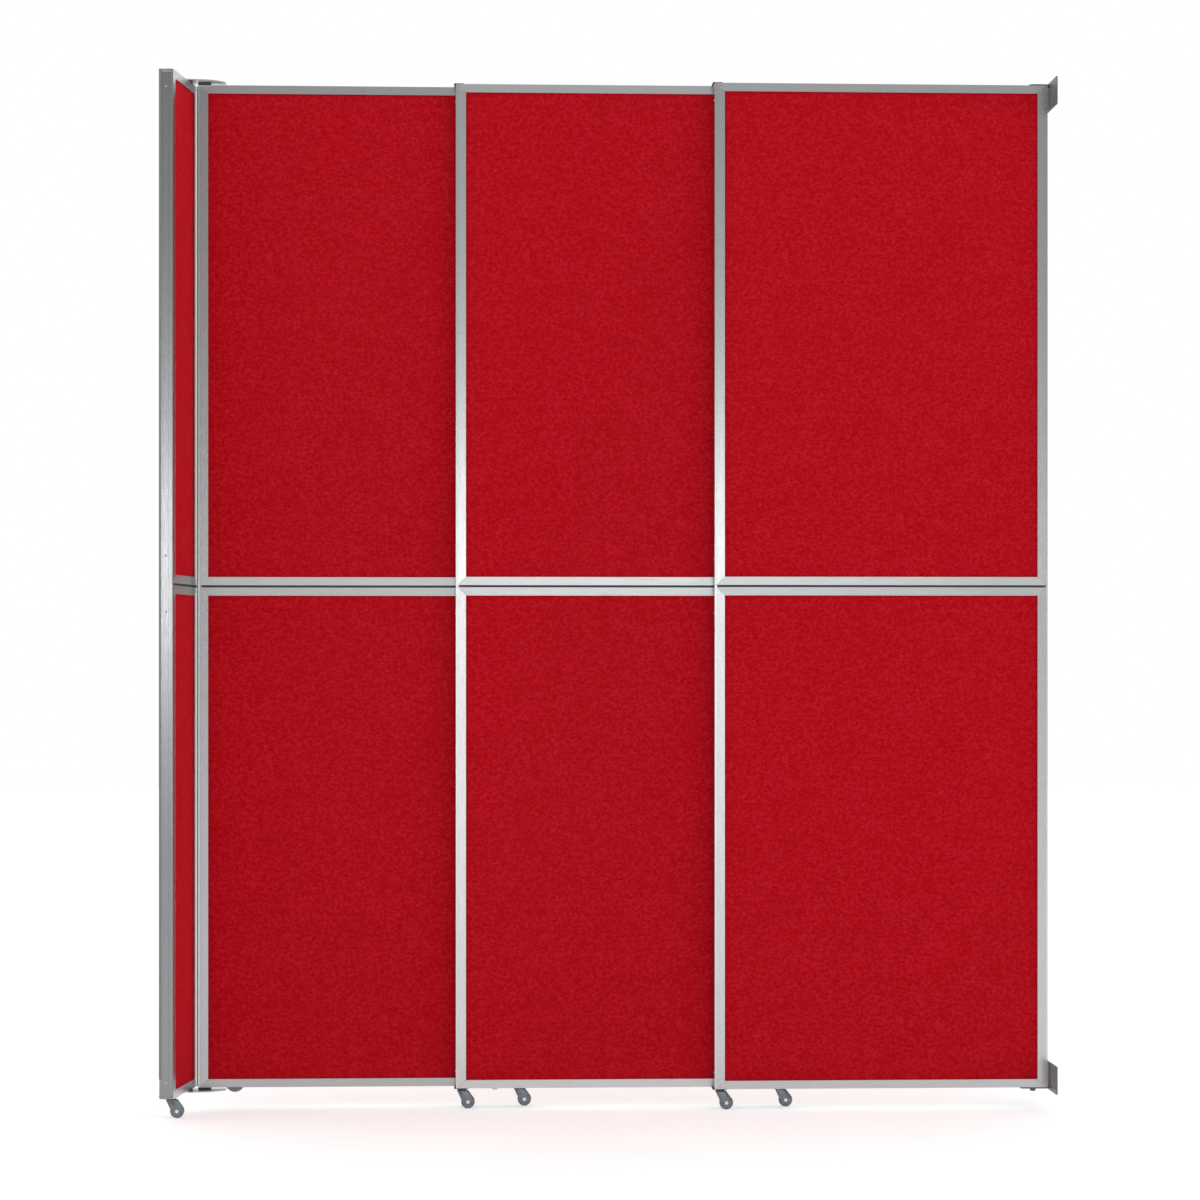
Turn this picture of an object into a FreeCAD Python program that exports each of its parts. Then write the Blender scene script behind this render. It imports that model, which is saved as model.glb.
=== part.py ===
import FreeCAD, Part
import math
import os
import Sketcher

# A wall-mounted sliding room divider: three tall framed columns that telescope past each
# other, a hinged end panel that stands across the free end, and five casters.
# X runs along the wall line, +Y away from the room, +Z up, and the floor is at Z = 0.

# Driving sizes, in millimetres and degrees.
SIZES = [
    # Frames
    ("column_width", 1219),
    ("end_panel_width", 353),
    ("frame_height", 1825),
    ("frame_gap", 8),
    ("base_height", 76),
    ("rail_face", 30),
    ("frame_depth", 51),
    # Extruded rail
    ("rail_wall", 2),
    ("slot_mouth", 8),
    ("slot_lip", 2.5),
    ("slot_depth", 6),
    ("slot_width", 16),
    ("channel_depth", 8),
    ("groove_near", 11),
    ("groove_width", 5),
    ("groove_depth", 6),
    # Boards
    ("board_thickness", 41),
    ("board_clearance", 0.4),
    ("board_hold", 6.5),
    # Edge strips and joining keys
    ("strip_thickness", 7),
    ("strip_wall", 2),
    ("slot_clearance", 0.3),
    ("strip_tongue", 5.5),
    ("key_head", 3),
    ("post_round", 4),
    ("flute_near", 9),
    ("flute_width", 5),
    ("flute_depth", 0.8),
    # Layout of the columns
    ("column_overlap", 279),
    ("stack_gap", 13),
    ("wall_gap", 8),
    # Wall brackets
    ("wall_plate_width", 305),
    ("wall_plate_height", 102),
    ("wall_plate_thickness", 4),
    ("wall_plate_rise", 6),
    ("wall_plate_corner", 8),
    ("wall_screw_hole", 7),
    ("wall_screw_spacing_y", 254),
    ("wall_screw_spacing_z", 64),
    ("arm_thickness", 4),
    ("arm_width", 44),
    ("arm_corner", 14),
    ("upper_arm_tip", 15),
    ("lower_arm_tip", 48),
    ("wall_pivot_inset", 50),
    ("wall_pin_radius", 6),
    ("wall_bush_radius", 10),
    ("bolt_head_width", 18),
    ("bolt_head_height", 10),
    # Pivot bushes
    ("bush_depth", 17),
    ("bush_flange", 1),
    ("flange_lip", 4),
    ("running_fit", 0.05),
    ("pivot_clearance", 0.3),
    ("pin_end_gap", 2),
    # Hinged end panel
    ("end_panel_turn", 9),
    ("corner_pivot_inset", 20),
    ("corner_gap", 9),
    ("corner_pin_radius", 4.5),
    ("corner_bush_radius", 7),
    ("corner_plate_thickness", 4),
    ("corner_plate_length", 101),
    ("corner_plate_reach", 50),
    ("corner_plate_round", 16),
    ("corner_plate_front_radius", 150),
    ("corner_spacer", 8),
    ("corner_spacer_length", 46),
    ("corner_spacer_width", 40),
    ("seal_width", 7),
    ("seal_thickness", 2.5),
    ("seal_lift", 70),
    ("cap_height", 12),
    ("cap_corner", 9),
    # Guides and slide stops
    ("guide_plate", 3),
    ("guide_overhang", 6),
    ("guide_length", 30),
    ("guide_margin", 5),
    ("guide_clearance", 0.5),
    ("key_depth", 5),
    ("tongue_depth", 5),
    ("key_start", 14),
    ("key_length", 14),
    ("left_plate_end", 46),
    ("left_key_start", 32),
    ("left_key_length", 11),
    ("right_plate_start", 16),
    ("right_plate_end", 96),
    ("right_key_start", 72),
    ("right_key_length", 18),
    ("stop_inset", 142),
    ("stop_head_radius", 11),
    ("stop_head_height", 7),
    ("bumper_inset", 133),
    ("bumper_radius", 32),
    ("bumper_height", 20),
    # Casters
    ("left_caster_inset", 22),
    ("middle_right_caster_inset", 34),
    ("rear_right_caster_inset", 50),
    ("end_caster_inset", 70),
    ("end_caster_plate_length", 72),
    ("end_caster_plate_width", 44),
    ("wheel_radius", 25),
    ("wheel_width", 20),
    ("tread_round", 4),
    ("hub_radius", 9),
    ("rim_radius", 17),
    ("dish_depth", 4),
    ("axle_radius", 4),
    ("axle_head_radius", 6.5),
    ("axle_head_height", 2.5),
    ("trail", 22),
    ("fork_wall", 2.5),
    ("fork_side_gap", 1.5),
    ("crown_thickness", 4),
    ("crown_back", 17),
    ("crown_front", 20),
    ("fork_bend", 2),
    ("axle_boss", 17),
    ("boss_back_turn", -147),
    ("boss_front_turn", 31),
    ("stud_radius", 3.8),
    ("stud_nut_radius", 6.5),
    ("mount_flange_radius", 18),
    ("mount_flange", 3),
    ("race_radius", 16),
    ("race_height", 3.5),
    ("race_gap", 0.5),
    ("kingpin_radius", 5),
    ("rivet_radius", 8),
    ("rivet_height", 2.6),
    # One overrun for every cut
    ("overrun", 2),
]

# Sizes that follow from the driving ones.
FOLLOWING = [
    ("column_frame_width", "column_width - 2 * strip_thickness"),
    ("end_frame_width", "end_panel_width - 2 * strip_thickness"),
    ("upper_frame_base", "base_height + frame_height + frame_gap"),
    ("top_height", "upper_frame_base + frame_height"),
    ("column_pitch", "column_width - column_overlap"),
    ("stack_pitch", "frame_depth + stack_gap"),
    ("half_depth", "frame_depth / 2"),
    ("channel_half", "board_thickness / 2 + board_clearance"),
    ("channel_floor", "rail_face - channel_depth"),
    ("slot_floor", "slot_lip + slot_depth"),
    ("groove_far", "groove_near + groove_width"),
    ("stem_half", "slot_mouth / 2 - slot_clearance"),
    ("head_half", "slot_width / 2 - slot_clearance"),
    ("end_sin", "sin(end_panel_turn)"),
    ("end_cos", "cos(end_panel_turn)"),
    ("end_lever", "end_panel_width - corner_pivot_inset"),
    ("outer_lever", "frame_depth - corner_pivot_inset"),
    ("end_reach_x",
     "corner_gap + corner_pivot_inset + end_lever * end_sin + outer_lever * end_cos"),
    ("end_reach_y",
     "corner_pivot_inset + end_lever * end_cos + corner_pivot_inset * end_sin"),
    ("overall_length",
     "wall_plate_thickness + wall_gap + column_width + 2 * column_pitch + end_reach_x"),
    ("wall_x", "overall_length / 2"),
    ("front_x", "wall_x - wall_plate_thickness - wall_gap - column_width"),
    ("middle_x", "front_x - column_pitch"),
    ("rear_x", "middle_x - column_pitch"),
    ("rear_face_y", "end_reach_y / 2"),
    ("rear_y", "rear_face_y - half_depth"),
    ("middle_y", "rear_y - stack_pitch"),
    ("front_y", "middle_y - stack_pitch"),
    ("corner_pivot_x", "rear_x - corner_gap - corner_pivot_inset"),
    ("corner_pivot_y", "rear_face_y - corner_pivot_inset"),
    ("pivot_side", "half_depth - corner_pivot_inset"),
    ("end_x", "corner_pivot_x + corner_pivot_inset * end_sin - pivot_side * end_cos"),
    ("end_y", "corner_pivot_y + corner_pivot_inset * end_cos + pivot_side * end_sin"),
    ("caster_top", "base_height - guide_plate"),
    ("fork_top", "caster_top - mount_flange - race_height - race_gap"),
    ("fork_inside", "wheel_width + 2 * fork_side_gap"),
    ("fork_outside", "fork_inside + 2 * fork_wall"),
    ("crown_bottom", "fork_top - crown_thickness"),
]

X_AXIS = FreeCAD.Vector(1, 0, 0)
Z_AXIS = FreeCAD.Vector(0, 0, 1)

doc = FreeCAD.newDocument("room_divider")
sizes = doc.addObject("Spreadsheet::Sheet", "sizes")
for row, (word, size) in enumerate(SIZES + FOLLOWING, 1):
    sizes.set(f"A{row}", word)
    sizes.set(f"B{row}", f"={size}" if isinstance(size, str) else str(size))
    sizes.setAlias(f"B{row}", word)
doc.recompute()

WORDS = sorted((word for word, size in SIZES + FOLLOWING), key=len, reverse=True)


def bound(text):
    """The same sum with each named size read from the sheet."""
    found = []
    word = ""
    for letter in text + " ":
        if letter.isalnum() or letter == "_":
            word += letter
            continue
        found.append(f"sizes.{word}" if word in WORDS else word)
        found.append(letter)
        word = ""
    return "".join(found).strip()


def value(text):
    """The number that a sum of named sizes comes to."""
    return float(sizes.evalExpression(bound(text)))


def tie(thing, prop, text):
    thing.setExpression(prop, bound(text))


# Sketches

def plane(body, role):
    return next(f for f in body.Origin.OriginFeatures if f.Role == role)


def new_sketch(body, name, role, lift=None):
    sketch = body.newObject("Sketcher::SketchObject", name)
    sketch.AttachmentSupport = [(plane(body, role), "")]
    sketch.MapMode = "FlatFace"
    if lift:
        tie(sketch, "AttachmentOffset.Base.z", lift)
    return sketch


def add_loop(sketch, points):
    """A closed outline. A point is (x, y), or (x, y, radius) where an arc leaves it."""
    spots = [FreeCAD.Vector(value(p[0]), value(p[1]), 0) for p in points]
    first = sketch.GeometryCount
    count = len(points)
    for i, point in enumerate(points):
        start = spots[i]
        end = spots[(i + 1) % count]
        if len(point) == 3:
            radius = value(point[2])
            chord = end - start
            rise = math.sqrt(max(radius ** 2 - (chord.Length / 2) ** 2, 0))
            side = FreeCAD.Vector(-chord.y, chord.x, 0).normalize()
            centre = (start + end) * 0.5 + side * rise
            middle = centre - side * radius
            sketch.addGeometry(Part.Arc(start, middle, end), False)
        else:
            sketch.addGeometry(Part.LineSegment(start, end), False)
    for i in range(count):
        ends = (first + i, 2, first + (i + 1) % count, 1)
        sketch.addConstraint(Sketcher.Constraint("Coincident", *ends))
    for i, point in enumerate(points):
        for kind, text, place in (("DistanceX", point[0], spots[i].x),
                                  ("DistanceY", point[1], spots[i].y)):
            spot = (-1, 1, first + i, 1)
            row = sketch.addConstraint(Sketcher.Constraint(kind, *spot, place))
            sketch.setExpression(f"Constraints[{row}]", bound(text))
        if len(point) == 3:
            rule = Sketcher.Constraint("Radius", first + i, value(point[2]))
            row = sketch.addConstraint(rule)
            sketch.setExpression(f"Constraints[{row}]", bound(point[2]))


def add_circle(sketch, x, y, radius):
    centre = FreeCAD.Vector(value(x), value(y), 0)
    ring = sketch.addGeometry(Part.Circle(centre, Z_AXIS, value(radius)), False)
    for kind, text, place in (("DistanceX", x, centre.x), ("DistanceY", y, centre.y)):
        row = sketch.addConstraint(Sketcher.Constraint(kind, -1, 1, ring, 3, place))
        sketch.setExpression(f"Constraints[{row}]", bound(text))
    row = sketch.addConstraint(Sketcher.Constraint("Radius", ring, value(radius)))
    sketch.setExpression(f"Constraints[{row}]", bound(radius))


def box_points(left, right, low, high):
    return [(left, low), (right, low), (right, high), (left, high)]


def mirrored(points):
    """A half outline with x on one side, closed by its mirror image across x = 0."""
    other = [(f"-({x})", y) for x, y in reversed(points)]
    return points + other


# Features

def new_body(name):
    return doc.addObject("PartDesign::Body", name)


def pad(body, name, sketch, length, middle=False, back=False):
    feature = body.newObject("PartDesign::Pad", name)
    feature.Profile = sketch
    tie(feature, "Length", length)
    feature.Midplane = middle
    feature.Reversed = back
    doc.recompute()
    return feature


def pocket(body, name, sketch, length, middle=False, back=False):
    before = body.Shape.Volume
    feature = body.newObject("PartDesign::Pocket", name)
    feature.Profile = sketch
    tie(feature, "Length", length)
    feature.Midplane = middle
    feature.Reversed = back
    doc.recompute()
    if body.Shape.Volume >= before:
        raise RuntimeError(f"{name} cuts nothing from {body.Name}")
    return feature


def revolve(body, name, sketch):
    feature = body.newObject("PartDesign::Revolution", name)
    feature.Profile = sketch
    feature.ReferenceAxis = (sketch, ["V_Axis"])
    feature.Angle = 360
    doc.recompute()
    return feature


def fillet(body, name, radius, chosen):
    """Round the edges of the body's last feature that the test picks."""
    base = body.Tip
    edges = [f"Edge{i}" for i, e in enumerate(base.Shape.Edges, 1) if chosen(e)]
    feature = body.newObject("PartDesign::Fillet", name)
    feature.Base = (base, edges)
    tie(feature, "Radius", radius)
    doc.recompute()
    return feature


def upright(edge):
    box = edge.BoundBox
    return box.ZLength > 1e-6 and box.XLength < 1e-6 and box.YLength < 1e-6


def set_place(thing, x="0", y="0", z="0", turn=None):
    for axis, text in (("x", x), ("y", y), ("z", z)):
        if text != "0":
            tie(thing, f"Placement.Base.{axis}", text)
    if turn:
        thing.Placement = FreeCAD.Placement(thing.Placement.Base, FreeCAD.Rotation(Z_AXIS, 1))
        tie(thing, "Placement.Rotation.Angle", turn)


def group(name, members, x="0", y="0", z="0", turn=None):
    """One node made of the given solids, set down at its own place."""
    node = doc.addObject("Part::Compound", name)
    node.Links = members
    set_place(node, x, y, z, turn)
    doc.recompute()
    return node


def mirror(name, source, normal, x="0", z="0"):
    node = doc.addObject("Part::Mirroring", name)
    node.Source = source
    node.Normal = normal
    tie(node, "Base.x", x)
    tie(node, "Base.z", z)
    doc.recompute()
    return node


def cylinder(name, radius, length, x="0", y="0", z="0"):
    rod = doc.addObject("Part::Cylinder", name)
    tie(rod, "Radius", radius)
    tie(rod, "Height", length)
    set_place(rod, x, y, z)
    return rod


def cut(name, base, tool):
    node = doc.addObject("Part::Cut", name)
    node.Base = base
    node.Tool = tool
    doc.recompute()
    return node


# The extruded rail. Its section lies with x across the depth and y from the outer edge in.
# The middle slot holds the column's own pieces. The guides of the next column in front run
# in the groove before it and those of the next column behind in the groove past it, so that
# they pass each other.

def rail_outer():
    half = [
        ("slot_mouth / 2", "0"),
        ("groove_near", "0"),
        ("groove_near", "groove_depth"),
        ("groove_far", "groove_depth"),
        ("groove_far", "0"),
        ("half_depth", "0"),
        ("half_depth", "rail_face"),
        ("channel_half", "rail_face"),
        ("channel_half", "channel_floor"),
    ]
    slot = [
        ("-slot_mouth / 2", "slot_lip"),
        ("-slot_width / 2", "slot_lip"),
        ("-slot_width / 2", "slot_floor"),
        ("slot_width / 2", "slot_floor"),
        ("slot_width / 2", "slot_lip"),
        ("slot_mouth / 2", "slot_lip"),
    ]
    return mirrored(half) + slot


def rail_chamber():
    half = [
        ("slot_width / 2 + rail_wall", "slot_floor + rail_wall"),
        ("slot_width / 2 + rail_wall", "groove_depth + rail_wall"),
        ("groove_far + rail_wall", "groove_depth + rail_wall"),
        ("groove_far + rail_wall", "rail_wall"),
        ("half_depth - rail_wall", "rail_wall"),
        ("half_depth - rail_wall", "channel_floor - rail_wall"),
    ]
    return mirrored(half)


def swapped(points):
    return [(y, x) for x, y in points]


def mitre(body, length, across):
    """Cut both ends of a rail at 45 degrees, the outer edge left full length."""
    far = "rail_face + overrun"
    near = "-overrun"
    low = [(near, near), (near, far), (far, far)]
    high = [(f"{length} - ({x})", y) for x, y in low]
    if across:
        low = swapped(low)
        high = swapped(high)
    sketch = new_sketch(body, f"{body.Name}_mitre_lines", "XZ_Plane")
    add_loop(sketch, low)
    add_loop(sketch, high)
    pocket(body, f"{body.Name}_mitre", sketch, "frame_depth + 2 * overrun", middle=True)


def rail(name, length):
    body = new_body(name)
    sketch = new_sketch(body, f"{name}_section", "YZ_Plane")
    add_loop(sketch, rail_outer())
    add_loop(sketch, rail_chamber())
    pad(body, f"{name}_extrusion", sketch, length)
    mitre(body, length, across=False)
    return body


def stile(name, length):
    body = new_body(name)
    sketch = new_sketch(body, f"{name}_section", "XY_Plane")
    add_loop(sketch, swapped(rail_outer()))
    add_loop(sketch, swapped(rail_chamber()))
    pad(body, f"{name}_extrusion", sketch, length)
    mitre(body, length, across=True)
    return body


def four_sided_frame(name, width):
    """Two rails and two stiles, mitred together, with the lower left corner at the origin."""
    low = rail(f"{name}_rail", width)
    left = stile(f"{name}_stile", "frame_height")
    high = mirror(f"{name}_top_rail", low, Z_AXIS, z="frame_height / 2")
    right = mirror(f"{name}_far_stile", left, X_AXIS, x=f"{width} / 2")
    return group(f"{name}_pieces", [low, high, left, right])


def board(name, width):
    slab = doc.addObject("Part::Box", name)
    tie(slab, "Length", f"{width} - 2 * (rail_face - board_hold)")
    tie(slab, "Width", "board_thickness")
    tie(slab, "Height", "frame_height - 2 * (rail_face - board_hold)")
    set_place(slab, x="rail_face - board_hold", y="-board_thickness / 2",
              z="rail_face - board_hold")
    return slab


def edge_strip(name, low, high):
    """A thin channel along a stile, with a tongue that slides into the stile's slot."""
    body = new_body(name)
    sketch = new_sketch(body, f"{name}_section", "XY_Plane", lift=low)
    half = [
        ("half_depth", "0"),
        ("half_depth", "strip_thickness"),
        ("half_depth - strip_wall", "strip_thickness"),
        ("half_depth - strip_wall", "strip_wall"),
        ("stem_half", "strip_wall"),
        ("stem_half", "strip_thickness + strip_tongue"),
    ]
    add_loop(sketch, swapped(mirrored(half)))
    pad(body, f"{name}_extrusion", sketch, f"{high} - ({low})")
    return body


def post_strip(name, low, high):
    """The strip along the free edge, with rounded corners and two shallow flutes."""
    body = edge_strip(name, low, high)
    sketch = new_sketch(body, f"{name}_flute_outlines", "XY_Plane", lift=low)
    far = "flute_near + flute_width"
    add_loop(sketch, box_points("-overrun", "flute_depth", "flute_near", far))
    add_loop(sketch, box_points("-overrun", "flute_depth", f"-({far})", "-flute_near"))
    pocket(body, f"{name}_flutes", sketch, f"{high} - ({low})", back=True)
    side = value("half_depth")
    fillet(body, f"{name}_rounds", "post_round",
           lambda e: e.BoundBox.ZLength > side and abs(e.BoundBox.XMax) < 1e-6
           and abs(abs(e.BoundBox.YMin) - side) < 1e-6)
    return body


def joining_key(name, width):
    """A double T-section that slides into the two slots that face each other."""
    body = new_body(name)
    sketch = new_sketch(body, f"{name}_section", "YZ_Plane", lift="rail_face")
    inner = "frame_gap / 2 + slot_lip + slot_clearance"
    half = [
        ("head_half", f"-({inner} + key_head)"),
        ("head_half", f"-({inner})"),
        ("stem_half", f"-({inner})"),
        ("stem_half", inner),
        ("head_half", inner),
        ("head_half", f"{inner} + key_head"),
    ]
    add_loop(sketch, mirrored(half))
    pad(body, f"{name}_extrusion", sketch, f"{width} - 2 * rail_face")
    return body


def column_set(name, x, y, frame, slab, strips, key, turn=None, bores=None):
    """The nodes of one column: two frames, two boards, the edge strips and the key."""
    nodes = []
    inset = "strip_thickness"
    for level, base in (("lower", "base_height"), ("upper", "upper_frame_base")):
        made = frame
        if bores:
            made = cut(f"{name}_{level}_bored", frame, bores[level])
        held = group(f"{name}_{level}_pieces", [made], x=inset, z=base)
        nodes.append(group(f"{name}_{level}_frame", [held], x, y, turn=turn))
        held = group(f"{name}_{level}_slab", [slab], x=inset, z=base)
        nodes.append(group(f"{name}_{level}_board", [held], x, y, turn=turn))
    nodes.append(group(f"{name}_edge_strips", strips, x, y, turn=turn))
    if key:
        held = group(f"{name}_key_in_place", [key], x=inset,
                     z="upper_frame_base - frame_gap / 2")
        nodes.append(group(f"{name}_joining_key", [held], x, y, turn=turn))
    return nodes


# Pivot bushes: a flanged sleeve let into the rail's outer wall.

def bush(name, pin, outside):
    """Axis on Z, the sleeve above the flange, the rail's outer face at Z = 0."""
    body = new_body(name)
    sketch = new_sketch(body, f"{name}_section", "XZ_Plane")
    add_loop(sketch, [
        (f"{pin} + running_fit", "-bush_flange"),
        (f"{outside} + flange_lip", "-bush_flange"),
        (f"{outside} + flange_lip", "0"),
        (outside, "0"),
        (outside, "bush_depth"),
        (f"{pin} + running_fit", "bush_depth"),
    ])
    revolve(body, f"{name}_turned", sketch)
    return body


def bore_tools(name, x, y, radius):
    """The holes for the bushes, low in the lower frame and high in the upper one."""
    depth = "bush_depth + pivot_clearance + overrun"
    low = cylinder(f"{name}_low_bore", f"{radius} + running_fit", depth, x, y, "-overrun")
    high = cylinder(f"{name}_high_bore", f"{radius} + running_fit", depth, x, y,
                    "frame_height - bush_depth - pivot_clearance")
    return {"lower": low, "upper": high}


def bush_pair(name, sleeve, x, y, place_x, place_y, turn=None):
    low = group(f"{name}_low", [sleeve], x=x, y=y, z="base_height")
    flipped = mirror(f"{name}_flipped", sleeve, Z_AXIS)
    high = group(f"{name}_high", [flipped], x=x, y=y, z="top_height")
    return group(name, [low, high], place_x, place_y, turn=turn)


# Wall brackets, drawn for the lower one with the pivot on Z and the arm's top at Z = 0.

def wall_bracket(name, tip, bolted):
    body = new_body(name)
    face = "wall_pivot_inset + wall_gap"
    sketch = new_sketch(body, f"{name}_arm_outline", "XY_Plane")
    add_loop(sketch, box_points(f"-{tip}", face, "-arm_width / 2", "arm_width / 2"))
    pad(body, f"{name}_arm", sketch, "arm_thickness", back=True)
    tip_x = -value(tip)
    fillet(body, f"{name}_arm_round", "arm_corner",
           lambda e: upright(e) and abs(e.BoundBox.XMin - tip_x) < 1e-6)
    low = "-arm_thickness - wall_plate_rise"
    sketch = new_sketch(body, f"{name}_plate_outline", "YZ_Plane", lift=face)
    add_loop(sketch, box_points("-wall_plate_width / 2", "wall_plate_width / 2",
                                low, f"{low} + wall_plate_height"))
    pad(body, f"{name}_plate", sketch, "wall_plate_thickness")
    sides = value("wall_plate_width / 2")
    fillet(body, f"{name}_plate_round", "wall_plate_corner",
           lambda e: e.BoundBox.XLength > 1e-6 and e.BoundBox.YLength < 1e-6
           and e.BoundBox.ZLength < 1e-6 and abs(abs(e.BoundBox.YMin) - sides) < 1e-6)
    sketch = new_sketch(body, f"{name}_screw_places", "YZ_Plane", lift=face)
    centre = f"{low} + wall_plate_height / 2"
    for y in ("-wall_screw_spacing_y / 2", "wall_screw_spacing_y / 2"):
        for sign in ("-", "+"):
            add_circle(sketch, y, f"{centre} {sign} wall_screw_spacing_z / 2",
                       "wall_screw_hole / 2")
    pocket(body, f"{name}_screw_holes", sketch, "wall_plate_thickness + overrun", back=True)
    sketch = new_sketch(body, f"{name}_pin_outline", "XY_Plane", lift="-arm_thickness")
    add_circle(sketch, "0", "0", "wall_pin_radius")
    reach = "arm_thickness + pivot_clearance + bush_flange + bush_depth - pin_end_gap"
    pad(body, f"{name}_pin", sketch, reach)
    if bolted:
        sketch = new_sketch(body, f"{name}_hexagon", "XY_Plane", lift="-arm_thickness")
        corner = "bolt_head_width / 2 / cos(30)"
        add_loop(sketch, [(f"{corner} * cos({60 * i})", f"{corner} * sin({60 * i})")
                          for i in range(6)])
        pad(body, f"{name}_bolt_head", sketch, "bolt_head_height", back=True)
    return body


def wall_brackets():
    x = "front_x + column_width - wall_pivot_inset"
    low = wall_bracket("lower_bracket_form", "lower_arm_tip", bolted=True)
    drop = "bush_flange + pivot_clearance"
    lower = group("lower_wall_bracket", [low], x, "front_y", f"base_height - ({drop})")
    high = wall_bracket("upper_bracket_form", "upper_arm_tip", bolted=False)
    flipped = mirror("upper_bracket_flipped", high, Z_AXIS)
    upper = group("upper_wall_bracket", [flipped], x, "front_y", f"top_height + {drop}")
    return [lower, upper]


# Corner plates that carry the end panel, drawn for the upper one on a column's left end.

def corner_plate_form():
    body = new_body("corner_plate_form")
    sketch = new_sketch(body, "corner_plate_outline", "XY_Plane", lift="corner_spacer")
    pivot = "-corner_gap - corner_pivot_inset"
    left = f"{pivot} - corner_plate_round"
    add_loop(sketch, [
        ("corner_plate_length", "half_depth"),
        (left, "half_depth"),
        (left, "-half_depth - corner_plate_reach", "corner_plate_front_radius"),
        ("corner_plate_length", "-half_depth"),
    ])
    pad(body, "corner_plate_sheet", sketch, "corner_plate_thickness")
    edge = value(left)
    fillet(body, "corner_plate_rounds", "corner_plate_round",
           lambda e: upright(e) and abs(e.BoundBox.XMin - edge) < 1e-6)
    sketch = new_sketch(body, "corner_spacer_outline", "XY_Plane")
    add_loop(sketch, box_points("0", "corner_spacer_length", "-corner_spacer_width / 2",
                                "corner_spacer_width / 2"))
    pad(body, "corner_spacer_block", sketch, "corner_spacer")
    sketch = new_sketch(body, "corner_collar_outline", "XY_Plane", lift="corner_spacer")
    add_circle(sketch, pivot, "pivot_side", "corner_bush_radius")
    pad(body, "corner_collar", sketch, "corner_spacer - bush_flange - pivot_clearance",
        back=True)
    sketch = new_sketch(body, "corner_pin_outline", "XY_Plane",
                        lift="bush_flange + pivot_clearance")
    add_circle(sketch, pivot, "pivot_side", "corner_pin_radius")
    pad(body, "corner_pin", sketch,
        "bush_flange + pivot_clearance + bush_depth - pin_end_gap", back=True)
    return body


def corner_plates():
    form = corner_plate_form()
    upper = group("upper_corner_plate", [form], "rear_x", "rear_y", "top_height")
    flipped = mirror("corner_plate_flipped", form, Z_AXIS)
    lower = group("lower_corner_plate", [flipped], "rear_x", "rear_y", "base_height")
    return [upper, lower]


# Guides. Each is fixed in its own rail's slot and runs in the next column's near groove.
# They are drawn for a left end with the rail's outer face at Z = 0 and the rail below.

def guide_form(name, start, end, key_start, key_length, stud_at=None):
    body = new_body(name)
    sketch = new_sketch(body, f"{name}_plate_outline", "YZ_Plane", lift=start)
    add_loop(sketch, [
        ("-half_depth + guide_margin", "0"),
        ("half_depth", "0"),
        ("half_depth", "guide_clearance"),
        ("stack_pitch - guide_margin", "guide_clearance"),
        ("stack_pitch - guide_margin", "guide_plate"),
        ("-half_depth + guide_margin", "guide_plate"),
    ])
    pad(body, f"{name}_plate", sketch, f"{end} - ({start})")
    sketch = new_sketch(body, f"{name}_key_outline", "YZ_Plane", lift=key_start)
    add_loop(sketch, box_points("-stem_half", "stem_half", "-key_depth", "guide_plate / 2"))
    pad(body, f"{name}_key", sketch, key_length)
    sketch = new_sketch(body, f"{name}_tongue_outline", "YZ_Plane", lift=start)
    add_loop(sketch, box_points("stack_pitch - groove_far + slot_clearance",
                                "stack_pitch - groove_near - slot_clearance",
                                "-tongue_depth", "guide_plate / 2"))
    pad(body, f"{name}_tongue", sketch, f"{end} - ({start})")
    if stud_at:
        sketch = new_sketch(body, f"{name}_stud_hole_outline", "XY_Plane")
        add_circle(sketch, stud_at, "0", "stud_radius + slot_clearance")
        pocket(body, f"{name}_stud_hole", sketch, "guide_plate + overrun", back=True)
    return body


def guides():
    upper = guide_form("upper_guide_form", "-guide_overhang", "guide_length",
                       "key_start", "key_length")
    left = guide_form("left_guide_form", "-guide_overhang", "left_plate_end",
                      "left_key_start", "left_key_length", stud_at="left_caster_inset")
    middle_right = guide_form("middle_right_guide_form", "right_plate_start",
                              "right_plate_end", "right_key_start", "right_key_length",
                              stud_at="middle_right_caster_inset")
    rear_right = guide_form("rear_right_guide_form", "right_plate_start",
                            "right_plate_end", "right_key_start", "right_key_length",
                            stud_at="rear_right_caster_inset")
    flip = {}
    for form in (left, middle_right, rear_right):
        flip[form.Name] = mirror(f"{form.Name}_flipped", form, Z_AXIS)
    nodes = []
    nodes.append(group("front_upper_guide", [upper], "front_x", "front_y", "top_height"))
    nodes.append(group("front_lower_guide", [flip[left.Name]], "front_x", "front_y",
                       "base_height"))
    at_left = group("middle_upper_left_guide", [upper], z="0")
    at_right = group("middle_upper_right_guide", [upper], x="column_width", turn="180")
    nodes.append(group("middle_upper_guides", [at_left, at_right], "middle_x", "middle_y",
                       "top_height"))
    nodes.append(group("middle_left_lower_guide", [flip[left.Name]], "middle_x",
                       "middle_y", "base_height"))
    nodes.append(group("middle_right_lower_guide", [flip[middle_right.Name]],
                       "middle_x + column_width", "middle_y", "base_height", turn="180"))
    nodes.append(group("rear_upper_guide", [upper], "rear_x + column_width", "rear_y",
                       "top_height", turn="180"))
    nodes.append(group("rear_lower_guide", [flip[rear_right.Name]],
                       "rear_x + column_width", "rear_y", "base_height", turn="180"))
    return nodes


# Slide stops, screwed into the slot under a bottom rail. Z = 0 is the rail's underside.

def stud_points():
    nut_low = "slot_lip + slot_clearance"
    return [
        ("stud_radius", "0"),
        ("stud_radius", nut_low),
        ("stud_nut_radius", nut_low),
        ("stud_nut_radius", "slot_floor - slot_clearance"),
        ("0", "slot_floor - slot_clearance"),
    ]


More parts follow.
